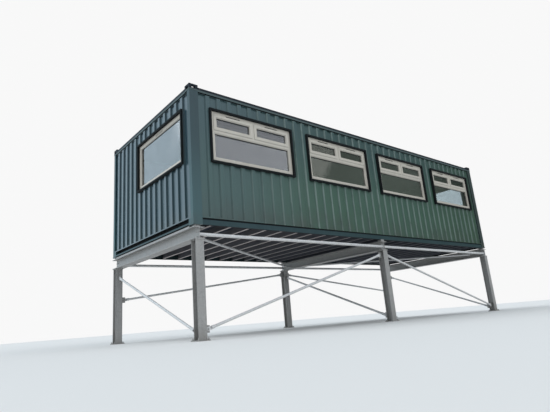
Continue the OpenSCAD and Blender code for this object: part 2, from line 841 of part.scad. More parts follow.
// Packers under the four castings and under the side rails at mid length, and a strip along each end beam
module packers() {
    color(galvanised) {
        at_both_ends() translate([strip_recess - half_l, strip_end - half_w, z_beam_top])
            cube([strip_w, cabin_w - 2 * strip_end, strip_h]);
        at_four_corners() translate([casting_l / 2 - half_l, casting_w / 2 - half_w, z_beam_top])
            translate([-packer_w / 2, -packer_w / 2, 0]) cube([packer_w, packer_w, packer_h]);
        at_both_sides() translate([-packer_w / 2, bottom_rail_recess - half_w, z_beam_top])
            cube([packer_w, packer_w, packer_h + rail_lift]);
    }
}

module cross_beam() {
    rotate([90, 0, 0]) linear_extrude(cabin_w + 2 * beam_overhang, center = true)
        h_section(beam_h, beam_w, beam_flange_t, beam_web_t);
}

module end_cross_beams() {
    color(galvanised) at_both_ends() translate([-end_frame_x, 0, z_beam_mid]) cross_beam();
}

module middle_cross_beam() {
    color(galvanised) translate([0, 0, z_beam_mid]) cross_beam();
}

module column_row() {
    for (x = frame_xs) translate([x, -column_y, base_t]) linear_extrude(z_column_top - base_t)
        h_section(column_h, column_w, column_flange_t, column_web_t);
}

module front_columns() {
    color(galvanised) column_row();
}

module rear_columns() {
    color(galvanised) mirror([0, 1, 0]) column_row();
}

module cap_plates() {
    color(galvanised) for (x = frame_xs) at_both_sides() translate([x, -column_y, z_column_top + cap_t / 2])
        cube([cap_w, cap_w, cap_t], center = true);
}

// Base plates, each with four holding-down holes outside the column's flanges
module base_plates() {
    color(galvanised) for (x = frame_xs) at_both_sides() translate([x, -column_y, 0])
        linear_extrude(base_t) difference() {
            square(base_w, center = true);
            for (sx = [-1, 1], sy = [-1, 1]) translate([sx, sy] * base_hole_pitch / 2) circle(d = base_hole_d);
        }
}

// Tube between the webs of two beams, with a plate at each end
module tie_tube() {
    tie_l = end_frame_x - beam_web_t - 2 * seat_gap;
    translate([beam_web_t / 2 + seat_gap - end_frame_x, tie_inset - half_w, z_beam_mid - tie_drop]) {
        for (x = [0, tie_l - tie_plate_t]) translate([x, -tie_plate_w / 2, -tie_plate_h / 2])
            cube([tie_plate_t, tie_plate_w, tie_plate_h]);
        translate([tie_plate_t / 2, 0, 0]) rotate([0, 90, 0]) difference() {
            cylinder(h = tie_l - tie_plate_t, d = tie_d);
            translate([0, 0, -over]) cylinder(h = tie_l - tie_plate_t + 2 * over, d = tie_d - 2 * tie_t);
        }
    }
}

module tie_tubes() {
    color(galvanised) at_four_corners() tie_tube();
}

// Brace from bolt to bolt along x: a tube with a drilled flat tab let into each end, standing on z = 0
module brace(length) {
    slot_depth = tab_w;
    difference() {
        union() {
            linear_extrude(tab_t) for (x = [0, length]) {
                side = x == 0 ? 1 : -1;
                translate([x, 0]) circle(d = tab_w);
                translate([x + side * (tab_l + slot_depth) / 2, 0])
                    square([tab_l + slot_depth, tab_w], center = true);
            }
            translate([tab_l, 0, tab_t / 2]) rotate([0, 90, 0]) difference() {
                cylinder(h = length - 2 * tab_l, d = brace_d);
                translate([0, 0, -over]) cylinder(h = length - 2 * tab_l + 2 * over, d = brace_d - 2 * brace_t);
            }
        }
        for (x = [0, length]) translate([x, 0, -over]) cylinder(h = tab_t + 2 * over, d = bolt_hole_d);
    }
}

// Cleat plate: welded edge at x = 0, bolt hole at the given reach, standing on z = 0
module cleat(reach) {
    linear_extrude(tab_t) difference() {
        translate([0, -cleat_h / 2]) square([reach + tab_w / 2, cleat_h]);
        translate([reach, 0]) circle(d = bolt_hole_d);
    }
}

// Long diagonal in a side of the stand, from the foot of the end column to the head of the middle one
module long_diagonal(foot_z) {
    run = end_frame_x - 2 * column_reach;
    rise = z_head - foot_z;
    translate([column_reach - end_frame_x, -column_y - lap, foot_z])
        rotate([90, 0, 0]) rotate([0, 0, atan2(rise, run)]) brace(norm([run, rise]));
}

module front_diagonals() {
    color(galvanised) at_both_ends() long_diagonal(front_foot_z);
}

module rear_diagonals() {
    color(galvanised) at_both_ends() mirror([0, 1, 0]) long_diagonal(rear_foot_z);
}

// Brace across a frame, from the foot of its front column to the head of its rear one
module cross_brace() {
    run = 2 * cross_y;
    rise = z_cross_head - cross_foot_z;
    translate([-lap - tab_t, -cross_y, cross_foot_z])
        rotate([90, 0, 90]) rotate([0, 0, atan2(rise, run)]) brace(norm([run, rise]));
}

module cross_braces() {
    color(galvanised) {
        at_both_ends() translate([-end_frame_x, 0, 0]) cross_brace();
        cross_brace();
    }
}

// Level brace at mid depth of the beams, from the front of an end beam to the rear of the middle one
module plan_braces() {
    run = end_frame_x - 2 * beam_reach;
    color(galvanised) at_both_ends()
        translate([beam_reach - end_frame_x, -plan_y, z_beam_mid - lap - tab_t])
            rotate([0, 0, atan2(2 * plan_y, run)]) brace(norm([run, 2 * plan_y]));
}

// Upright cleat on a column's web, pointing to +x
module web_cleat(x, z) {
    translate([x + column_web_t / 2, -column_y + tab_t / 2, z]) rotate([90, 0, 0])
        cleat(column_reach - column_web_t / 2);
}

// Upright cleat on a column's inner flange, pointing into the stand
module flange_cleat(x, z) {
    translate([x - tab_t / 2, column_h / 2 - column_y, z]) rotate([90, 0, 90]) cleat(cleat_reach);
}

// Level cleat on a beam's web, pointing to +x
module beam_cleat(x, y) {
    translate([x + beam_web_t / 2, y, z_beam_mid - tab_t / 2]) cleat(beam_reach - beam_web_t / 2);
}

module brace_cleats() {
    color(galvanised) {
        at_both_ends() {
            web_cleat(-end_frame_x, front_foot_z);
            web_cleat(0, z_head);
            mirror([0, 1, 0]) web_cleat(-end_frame_x, rear_foot_z);
            mirror([0, 1, 0]) web_cleat(0, z_head);
            flange_cleat(-end_frame_x, cross_foot_z);
            mirror([0, 1, 0]) flange_cleat(-end_frame_x, z_cross_head);
            beam_cleat(-end_frame_x, -plan_y);
            beam_cleat(0, plan_y);
        }
        flange_cleat(0, cross_foot_z);
        mirror([0, 1, 0]) flange_cleat(0, z_cross_head);
    }
}

corner_posts();
top_corner_castings();
bottom_corner_castings();
top_side_rails();
top_end_rails();
bottom_side_rails();
bottom_end_sills();
front_wall();
rear_wall();
near_end_wall();
far_end_wall();
roof_panel();
cross_members();
floor_deck();
ceiling();
front_wall_lining();
rear_wall_lining();
end_wall_linings();
front_window_surrounds();
front_window_frames();
front_opening_lights();
front_window_glass();
opening_light_glass();
window_ventilators();
end_window_surrounds();
end_window_frames();
end_window_glass();
door_surround();
door_frame();
door_leaf();
door_hinges();
door_handle();
packers();
end_cross_beams();
middle_cross_beam();
front_columns();
rear_columns();
cap_plates();
base_plates();
tie_tubes();
front_diagonals();
rear_diagonals();
cross_braces();
plan_braces();
brace_cleats();
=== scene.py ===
import math

import bmesh
import bpy
from mathutils import Matrix, Vector


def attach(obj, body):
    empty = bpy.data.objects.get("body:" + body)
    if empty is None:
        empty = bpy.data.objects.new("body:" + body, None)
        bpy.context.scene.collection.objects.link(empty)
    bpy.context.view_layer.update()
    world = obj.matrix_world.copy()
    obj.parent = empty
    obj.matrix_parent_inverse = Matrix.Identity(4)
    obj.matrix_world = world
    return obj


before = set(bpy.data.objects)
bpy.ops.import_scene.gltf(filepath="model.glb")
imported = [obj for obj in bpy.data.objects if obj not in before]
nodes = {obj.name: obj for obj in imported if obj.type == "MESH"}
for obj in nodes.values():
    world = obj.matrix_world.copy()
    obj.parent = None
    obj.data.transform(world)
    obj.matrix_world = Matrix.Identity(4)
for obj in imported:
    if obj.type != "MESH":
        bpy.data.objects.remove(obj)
scene = bpy.context.scene
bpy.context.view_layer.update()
print("stage: frame loaded,", len(nodes), "nodes")


def clearPicks():
    if bpy.context.object and bpy.context.object.mode != "OBJECT":
        bpy.ops.object.mode_set(mode="OBJECT")
    bpy.ops.object.select_all(action="DESELECT")


def addNode(tree, kind, inputs=None, **settings):
    # laid out in rows; an input takes a plain value, or the output of an earlier node
    node = tree.nodes.new("ShaderNode" + kind)
    row, column = divmod(len(tree.nodes), 6)
    node.location = (200 * column, -300 * row)
    for name, value in settings.items():
        setattr(node, name, value)
    for name, value in (inputs or {}).items():
        if isinstance(value, bpy.types.NodeSocket):
            tree.links.new(value, node.inputs[name])
        else:
            node.inputs[name].default_value = value
    return node


def addMath(tree, operation, one, two, clamp=False):
    return addNode(tree, "Math", {0: one, 1: two}, operation=operation, use_clamp=clamp).outputs[0]


def addNoise(tree, vector, scale, detail, roughness):
    inputs = {"Vector": vector, "Scale": scale, "Detail": detail, "Roughness": roughness}
    return addNode(tree, "TexNoise", inputs).outputs["Fac"]


def addRange(tree, value, source=(0.0, 1.0), target=(0.0, 1.0), kind="LINEAR"):
    # stretches a value from one span to another
    inputs = dict(zip(("Value", "From Min", "From Max", "To Min", "To Max"), (value, *source, *target)))
    return addNode(tree, "MapRange", inputs, interpolation_type=kind).outputs["Result"]


def blendColour(tree, share, under, over, amount=1.0):
    # mixes a colour or an earlier mix with another one, by a mask times an amount
    inputs = {0: addMath(tree, "MULTIPLY", share, amount, True)}
    for socket, colour in ((6, under), (7, over)):
        inputs[socket] = (*colour, 1) if isinstance(colour, tuple) else colour
    return addNode(tree, "Mix", inputs, data_type="RGBA").outputs[2]


cameraSettings = {
    "place": (-8.5433, -8.1490, 0.2060),
    "turn": (104.586589, 4.502103, -39.019474),  # degrees about x, y and z
    "lens": 29.04,  # mm on a 36 mm wide sensor
}


def placeCamera():
    turn = [math.radians(angle) for angle in cameraSettings["turn"]]
    bpy.ops.object.camera_add(location=cameraSettings["place"], rotation=turn)
    camera = bpy.context.object
    camera.name = "photoCamera"
    camera.data.lens = cameraSettings["lens"]
    camera.data.sensor_width = 36.0
    camera.data.clip_end = 1000.0
    scene.camera = camera


studioSettings = {
    "background": 0.94,  # what the camera and glass see behind the cabin
    "glossSky": (0.69, 0.87, 1.0),  # what gloss shows of the open sky
    "glossFront": (0.78, 0.87, 1.0),  # of the duller sky in front
    "glossShade": (0.275, 0.345, 0.300),  # of what is low and dull in front, past the cabin's middle
    "glossDeep": (0.05, 0.075, 0.065),  # and of the darkest parts, before the near end and past the far one
    "shadeRise": (0.62, 0.48),  # both fade out between these heights of a unit ray
    "shadeFront": (-0.05, -0.30),  # and come in between these, towards the front
    "slant": (1.0, 0.97, 0.0),  # the dull part starts along this way
    "shadeStart": (-0.02, 0.025),
    "farDeep": (0.79, 0.90),  # x of the dark part past the far end
    "nearSide": (0.0, -0.3),  # x and y of the dark part before the near end
    "nearDeep": (-0.34, -0.52),
    "fill": (0.60, 0.65, 0.70),  # soft light from all round
    "floor": (0.72, 0.72, 0.71),
    "floorReach": 400.0,
    "lampSpread": 60,  # degrees
    "lamps": (  # name, where it shines from, strength and tint
        ("skyLamp", (-0.74, 0.42, 0.62), 1.7, (0.93, 0.97, 1.0)),  # high behind the near end
        ("frontLamp", (0.25, -0.80, 0.50), 0.75, (1.0, 0.99, 0.96)),  # weak, from the front
    ),
}


def buildStudio():
    plan = studioSettings
    scene.view_settings.view_transform = "Standard"
    world = bpy.data.worlds.new("paleStudio")
    world.use_nodes = True
    scene.world = world
    tree = world.node_tree
    tree.nodes.clear()
    way = addNode(tree, "TexCoord").outputs["Generated"]
    split = addNode(tree, "SeparateXYZ", {0: way}).outputs
    slant = addNode(tree, "VectorMath", {0: way, 1: plan["slant"]}, operation="DOT_PRODUCT")

    def fade(value, span):
        return addRange(tree, value, plan[span], kind="SMOOTHSTEP")

    def both(one, two):
        return addMath(tree, "MULTIPLY", one, two)

    def light(colour):
        return addNode(tree, "Background", {"Color": colour}).outputs[0]

    rise = fade(split["Z"], "shadeRise")
    front = fade(split["Y"], "shadeFront")
    low = both(rise, front)
    shade = both(low, fade(slant.outputs["Value"], "shadeStart"))
    farDeep = both(low, fade(split["X"], "farDeep"))
    nearSide = both(rise, fade(split["X"], "nearSide"))
    nearDeep = both(nearSide, fade(split["Y"], "nearDeep"))
    deep = addMath(tree, "MAXIMUM", farDeep, nearDeep)
    gloss = blendColour(tree, front, plan["glossSky"], plan["glossFront"])
    gloss = blendColour(tree, shade, gloss, plan["glossShade"])
    gloss = blendColour(tree, deep, gloss, plan["glossDeep"])
    rays = addNode(tree, "LightPath").outputs
    seen = addMath(tree, "MAXIMUM", rays["Is Transmission Ray"], rays["Is Camera Ray"])
    fill = light((*plan["fill"], 1))
    pale = light((*[plan["background"]] * 3, 1))
    shown = addNode(tree, "MixShader", {0: seen, 1: fill, 2: pale}).outputs[0]
    mirrored = light(gloss)
    shown = addNode(tree, "MixShader", {0: rays["Is Glossy Ray"], 1: shown, 2: mirrored}).outputs[0]
    addNode(tree, "OutputWorld", {"Surface": shown})

    clearPicks()
    bpy.ops.mesh.primitive_plane_add(size=plan["floorReach"])
    floor = bpy.context.object
    floor.name = "studioFloor"
    cover = bpy.data.materials.new("studioFloorPaint")
    cover.use_nodes = True
    shader = cover.node_tree.nodes["Principled BSDF"]
    shader.inputs["Base Color"].default_value = (*plan["floor"], 1)
    shader.inputs["Roughness"].default_value = 0.9
    floor.data.materials.append(cover)

    for name, side, strength, tint in plan["lamps"]:
        bpy.ops.object.light_add(type="SUN", rotation=Vector(side).to_track_quat("Z", "Y").to_euler())
        lamp = bpy.context.object
        lamp.name = name
        lamp.data.energy = strength
        lamp.data.angle = math.radians(plan["lampSpread"])
        lamp.data.color = tint
        lamp.visible_glossy = False  # gloss shows the world's sky alone, and no lamp's disc


placeCamera()
buildStudio()
print("stage: camera and studio ready")


def startGroup(name, takes):
    # a number for each value that the group takes, and None for a vector
    group = bpy.data.node_groups.new(name, "ShaderNodeTree")
    for label, value in takes.items():
        kind = "NodeSocketVector" if value is None else "NodeSocketFloat"
        socket = group.interface.new_socket(name=label, in_out="INPUT", socket_type=kind)
        if value is not None:
            socket.default_value = value
    return group, group.nodes.new("NodeGroupInput").outputs


def endGroup(group, gives):
    for label in gives:
        group.interface.new_socket(name=label, in_out="OUTPUT", socket_type="NodeSocketFloat")
    end = group.nodes.new("NodeGroupOutput")
    end.location = (1300, 0)
    for label, result in gives.items():
        group.links.new(result, end.inputs[label])
    return group


def makeRainStreaks():
    # thin upright runs that fade in and out, as rain leaves on a wall
    group, takes = startGroup("rainStreaks", {"Place": None, "Width": 0.04, "Length": 1.6, "Sharpness": 0.5})
    split = addNode(group, "SeparateXYZ", {0: takes["Place"]}).outputs
    along = addMath(group, "ADD", split["X"], split["Y"])
    across = addMath(group, "DIVIDE", along, takes["Width"])
    down = addMath(group, "DIVIDE", split["Z"], takes["Length"])
    join = addNode(group, "CombineXYZ", {"X": across, "Z": down}).outputs[0]
    runs = addNoise(group, join, 1.0, 3.0, 0.55)
    return endGroup(group, {"Streak": addRange(group, runs, (takes["Sharpness"], 0.75))})


def makeGrimeBands():
    # dirt that settles between two levels, broken up by cloudy noise
    group, takes = startGroup("grimeBands", {"Place": None, "Low": 0.0, "High": 1.0, "Patch": 3.0})
    split = addNode(group, "SeparateXYZ", {0: takes["Place"]}).outputs
    rise = addRange(group, split["Z"], (takes["Low"], takes["High"]), (1.0, 0.0))
    cloud = addNoise(group, takes["Place"], takes["Patch"], 5.0, 0.6)
    brokenUp = addRange(group, cloud, (0.3, 0.7))
    return endGroup(group, {"Grime": addMath(group, "MULTIPLY", rise, brokenUp, True)})


def makePaintFilm():
    # sprayed coat: broad chalky clouds for colour, orange peel for relief, and small chips
    group, takes = startGroup("paintFilm", {
        "Place": None,
        "Cloud Scale": 1.2,
        "Chip Share": 0.02,
        "Peel Scale": 140.0,
    })
    cloud = addNoise(group, takes["Place"], takes["Cloud Scale"], 6.0, 0.62)
    peel = addNoise(group, takes["Place"], takes["Peel Scale"], 2.0, 0.5)
    chips = addNoise(group, takes["Place"], 26.0, 8.0, 0.7)
    edge = addMath(group, "SUBTRACT", 0.76, takes["Chip Share"])
    return endGroup(group, {
        "Cloud": addRange(group, cloud, (0.3, 0.72)),
        "Peel": peel,
        "Chip": addMath(group, "GREATER_THAN", chips, edge),
    })


def makeZincSpangle():
    # crystals of dipped zinc, with dull bloom and small runs
    group, takes = startGroup("zincSpangle", {"Place": None, "Crystal Scale": 90.0, "Bloom Scale": 5.0})
    inputs = {"Vector": takes["Place"], "Scale": takes["Crystal Scale"]}
    crystal = addNode(group, "TexVoronoi", inputs).outputs["Color"]
    bloom = addNoise(group, takes["Place"], takes["Bloom Scale"], 7.0, 0.65)
    return endGroup(group, {
        "Crystal": addNode(group, "SeparateColor", {0: crystal}).outputs[0],
        "Bloom": addRange(group, bloom, (0.38, 0.68)),
        "Runs": addNoise(group, takes["Place"], 38.0, 4.0, 0.6),
    })


def makeFoldHighlights():
    # painted highlight lines along the folded edges of a corrugated sheet, where the bends catch the light
    group, takes = startGroup("foldHighlights", {
        "Place": None,
        "Axis": None,
        "First": 0.0,
        "Pitch": 0.237,
        "Wide": 0.018,
    })
    inputs = {0: takes["Place"], 1: takes["Axis"]}
    along = addNode(group, "VectorMath", inputs, operation="DOT_PRODUCT").outputs["Value"]
    offset = addMath(group, "SUBTRACT", along, takes["First"])
    steps = addMath(group, "DIVIDE", offset, takes["Pitch"])
    nearest = addMath(group, "PINGPONG", steps, 0.5)
    distance = addMath(group, "MULTIPLY", nearest, takes["Pitch"])
    line = addRange(group, distance, (takes["Wide"], 0.0), (0.0, 1.7))
    cloud = addNoise(group, takes["Place"], 2.3, 4.0, 0.6)
    brokenUp = addRange(group, cloud, (0.32, 0.55), (0.35, 1.0))
    return endGroup(group, {"Edge": addMath(group, "MULTIPLY", line, brokenUp, True)})


def makeDrawnGrain():
    # fine lines drawn out along one axis, as in a board's face or brushed steel
    group, takes = startGroup("drawnGrain", {"Place": None, "Stretch": None, "Detail": 4.0, "Roughness": 0.5})
    inputs = {"Vector": takes["Place"], "Scale": takes["Stretch"]}
    drawn = addNode(group, "Mapping", inputs).outputs[0]
    lines = addNoise(group, drawn, 1.0, takes["Detail"], takes["Roughness"])
    return endGroup(group, {"Grain": lines})


groups = {
    "folds": makeFoldHighlights(),
    "streaks": makeRainStreaks(),
    "grime": makeGrimeBands(),
    "paint": makePaintFilm(),
    "zinc": makeZincSpangle(),
    "grain": makeDrawnGrain(),
}
print("stage: shader groups ready")


def axisMask(tree, vector, axis, first, last, outwards=False):
    # rises from 0 to 1 between two places along an axis, or between two distances from its middle
    value = addNode(tree, "SeparateXYZ", {0: vector}).outputs[axis]
    if outwards:
        value = addMath(tree, "ABSOLUTE", value, 0.0)
    return addRange(tree, value, (first, last), kind="SMOOTHSTEP")


def makeFinish(name, base, effects, layers, relief, rough=None, plain=None):
    # a base colour under layers of (mask, colour, amount), rough from (mask, low, high),
    # relief from (mask, strength, distance), and plain values on the shader's own sockets
    material = bpy.data.materials.new(name)
    material.use_nodes = True
    material.diffuse_color = (*base, 1)
    tree = material.node_tree
    shader = tree.nodes["Principled BSDF"]
    shader.location = (1300, 0)
    tree.nodes["Material Output"].location = (1800, 0)
    point = addNode(tree, "TexCoord").outputs
    masks = {}
    for key, values in effects.items():
        inputs = dict(enumerate((point["Object"], *values)))
        effect = addNode(tree, "Group", inputs, node_tree=groups[key])
        for output in effect.outputs:
            masks[output.name] = output

    def findMask(kind):
        # an effect's output, "Below", an axis with two places on it, or an operation on two masks
        if kind not in masks:
            if kind == "Below":  # faces that look down, for painted shade
                masks[kind] = axisMask(tree, point["Normal"], "Z", -0.2, -0.75)
            elif kind[0] in ("MULTIPLY", "MAXIMUM"):
                masks[kind] = addMath(tree, kind[0], findMask(kind[1]), findMask(kind[2]))
            else:
                masks[kind] = axisMask(tree, point["Object"], *kind)
        return masks[kind]

    colour = base
    for kind, over, amount in layers:
        colour = blendColour(tree, findMask(kind), colour, over, amount)
    tree.links.new(colour, shader.inputs["Base Color"])
    if rough:
        spread = addRange(tree, findMask(rough[0]), target=rough[1:])
        tree.links.new(spread, shader.inputs["Roughness"])
    inputs = {"Height": findMask(relief[0]), "Strength": relief[1], "Distance": relief[2]}
    tree.links.new(addNode(tree, "Bump", inputs).outputs["Normal"], shader.inputs["Normal"])
    for label, value in (plain or {}).items():
        shader.inputs[label].default_value = value
    return material


# colours of weather, and of painted highlight and painted shade
weatherAndLightColours = {
    # painted highlight on the folds
    "foldHighlight": (0.21, 0.28, 0.26),
    "dirt": (0.045, 0.045, 0.038),
    # painted shade in grooves, recesses and on undersides
    "paintedShade": (0.005, 0.006, 0.008),
    "primer": (0.16, 0.15, 0.14),
}

# in the plans below, an effect is given what its group takes after the place, in the same order
coachPaints = {
    "wallPaint": {
        "fresh": (0.022, 0.058, 0.058),
        "chalked": (0.038, 0.080, 0.076),  # by the sun
        "film": (0.7, 0.0),
        "tonesAndPaintedLight": (
            (("Z", 4.1, 2.5), (0.040, 0.101, 0.060), 0.75),  # painted reflection: the lower half is a lighter green
            (("X", -1.8, -4.4), (0.054, 0.098, 0.112), 0.55),  # painted reflection: a lighter bluish tone towards the near end
            (("X", 1.0, 4.8), (0.022, 0.058, 0.025), 0.6),  # and painted shade, a deeper green, towards the far one
        ),
        "folds": ((1, 0, 0), -4.664),
        "foldShine": 0.85,  # how much the painted highlights on the folds show
        "streaks": 0.45,
        "dirt": (2.0, 2.5),  # heights between which it thins out
    },
    # the end walls: a darker, bluer copy of the wall paint, painted shade with the sky's blue painted in as
    # reflection
    "endPaint": {
        "fresh": (0.005, 0.027, 0.038),
        "chalked": (0.013, 0.046, 0.060),
        "film": (0.7, 0.0),
        # painted reflection: the lower half is a lighter tone
        "tonesAndPaintedLight": ((("Z", 4.1, 2.5), (0.008, 0.036, 0.048), 0.75),),
        "folds": ((0, 1, 0), -1.490),
        "foldShine": 0.2,
        "streaks": 0.25,
        "dirt": (2.0, 2.3),
        # the ends keep more of their gloss
        "gloss": {"Specular IOR Level": 0.85, "Coat Weight": 0.9, "Coat Roughness": 0.18},
    },
    "framePaint": {
        "fresh": (0.012, 0.036, 0.042),
        "chalked": (0.024, 0.056, 0.062),
        "film": (1.6, 0.02),
        "tonesAndPaintedLight": (
            # painted light, lighter low on the near posts; and the far ones have browned
            (("MULTIPLY", ("Z", 3.8, 2.1), ("X", 0.0, -4.5)), (0.032, 0.086, 0.092), 0.9),
            (("X", 4.0, 4.9), (0.024, 0.022, 0.012), 0.5),
        ),
        "streaks": 0.30,
        "dirt": (1.86, 2.1),
    },
    "doorPaint": {
        "fresh": (0.017, 0.058, 0.044),
        "chalked": (0.032, 0.084, 0.064),
        "film": (1.2, 0.01),
        "streaks": 0.35,
        "dirt": (2.0, 2.4),
    },
    "roofPaint": {
        "fresh": (0.022, 0.058, 0.058),
        "chalked": (0.038, 0.080, 0.076),
        "film": (0.9, 0.0),
        "streaks": 0.20,
        "dirt": (4.35, 4.45),
    },
}


def coachPaint(fresh, chalked, film, streaks, dirt, tonesAndPaintedLight=(), folds=None, foldShine=0.0, gloss=None):
    # sprayed green coat, chalked in clouds, with painted light and shade by place and painted highlights on
    # its folds, streaked, dirty and chipped
    effects = {"paint": film, "streaks": (0.05, 1.4, 0.46), "grime": (*dirt, 2.6)}
    layers = [("Cloud", chalked, 0.55), *tonesAndPaintedLight]
    dull = ("MAXIMUM", "Cloud", "Grime")
    if folds:
        effects["folds"] = folds
        # painted highlights on the folds, fading out towards the near end
        wearAndHighlight = ("MULTIPLY", "Edge", ("X", -5.2, -1.8))
        layers.append((wearAndHighlight, weatherAndLightColours["foldHighlight"], foldShine))
        dull = ("MAXIMUM", dull, wearAndHighlight)
    layers.append(("Streak", chalked, streaks))
    layers.append(("Grime", weatherAndLightColours["dirt"], 0.55))
    layers.append(("Chip", weatherAndLightColours["primer"], 0.8))
    return {
        "base": fresh,
        "effects": effects,
        "layers": layers,
        "rough": (dull, 0.29, 0.40),
        "relief": ("Peel", 0.12, 0.002),
        "plain": gloss or {"Specular IOR Level": 0.65},
    }


def recessPaint(axis, first, last):
    # rails painted outside, with painted shade in their grooves and recesses and on their undersides
    hidden = ("MAXIMUM", (axis, first, last, True), "Below")
    chalked = coachPaints["framePaint"]["chalked"]
    return {
        "base": coachPaints["framePaint"]["fresh"],
        "effects": {"paint": (1.6, 0.02), "streaks": (0.05, 0.4, 0.5)},
        "layers": [("Cloud", chalked, 0.6), ("Streak", chalked, 0.5), (hidden, weatherAndLightColours["paintedShade"], 0.92)],
        "rough": (hidden, 0.36, 0.85),
        "relief": ("Peel", 0.12, 0.002),
        "plain": {"Specular IOR Level": 0.4},
    }


def galvanised(base, bloom, dirtTop):
    # dull dipped zinc, with its spangle and some bloom
    light = tuple(part * 1.18 for part in base)
    dark = tuple(part * 0.80 for part in base)
    return {
        "base": dark,
        "effects": {"zinc": (), "streaks": (0.03, 0.5, 0.5), "grime": (0.0, dirtTop, 4.0)},
        "layers": [
            ("Crystal", light, 1.0),
            ("Bloom", bloom, 0.5),
            ("Streak", dark, 0.4),
            ("Grime", (0.16, 0.14, 0.11), 0.5),
        ],
        "rough": ("Bloom", 0.42, 0.68),
        "relief": ("Runs", 0.12, 0.003),
        "plain": {"Metallic": 0.35},
    }


def blackRubber(base, wearAndHighlight):
    # rubber or mastic, dusty along its runs
    return {
        "base": base,
        "effects": {"paint": (5.0, 0.0, 320.0), "streaks": (0.02, 0.3, 0.48)},
        "layers": [("Cloud", wearAndHighlight, 0.6), ("Streak", wearAndHighlight, 0.5)],
        "rough": ("Cloud", 0.55, 0.8),
        "relief": ("Peel", 0.15, 0.0006),
    }


def liningBoard(pale, wearAndHighlight):
    return {
        "base": pale,
        "effects": {"paint": (1.0, 0.0, 300.0)},
        "layers": [("Cloud", wearAndHighlight, 0.6)],
        "relief": ("Peel", 0.08, 0.0006),
        "plain": {"Roughness": 0.55},
    }


def windowGlass(mirror):
    # clear, with a faint film of dust; mirror makes up for a sealed unit's second pane and its coating
    return {
        "base": (0.94, 0.93, 0.91),
        "effects": {"paint": (1.8, 0.0, 3.0), "streaks": (0.03, 0.5, 0.48)},
        "layers": [("Streak", (0.85, 0.85, 0.84), 0.5)],
        "rough": ("Cloud", 0.0, 0.06),
        "relief": ("Peel", 0.02, 0.01),
        "plain": {"Transmission Weight": 1.0, "IOR": mirror},
    }


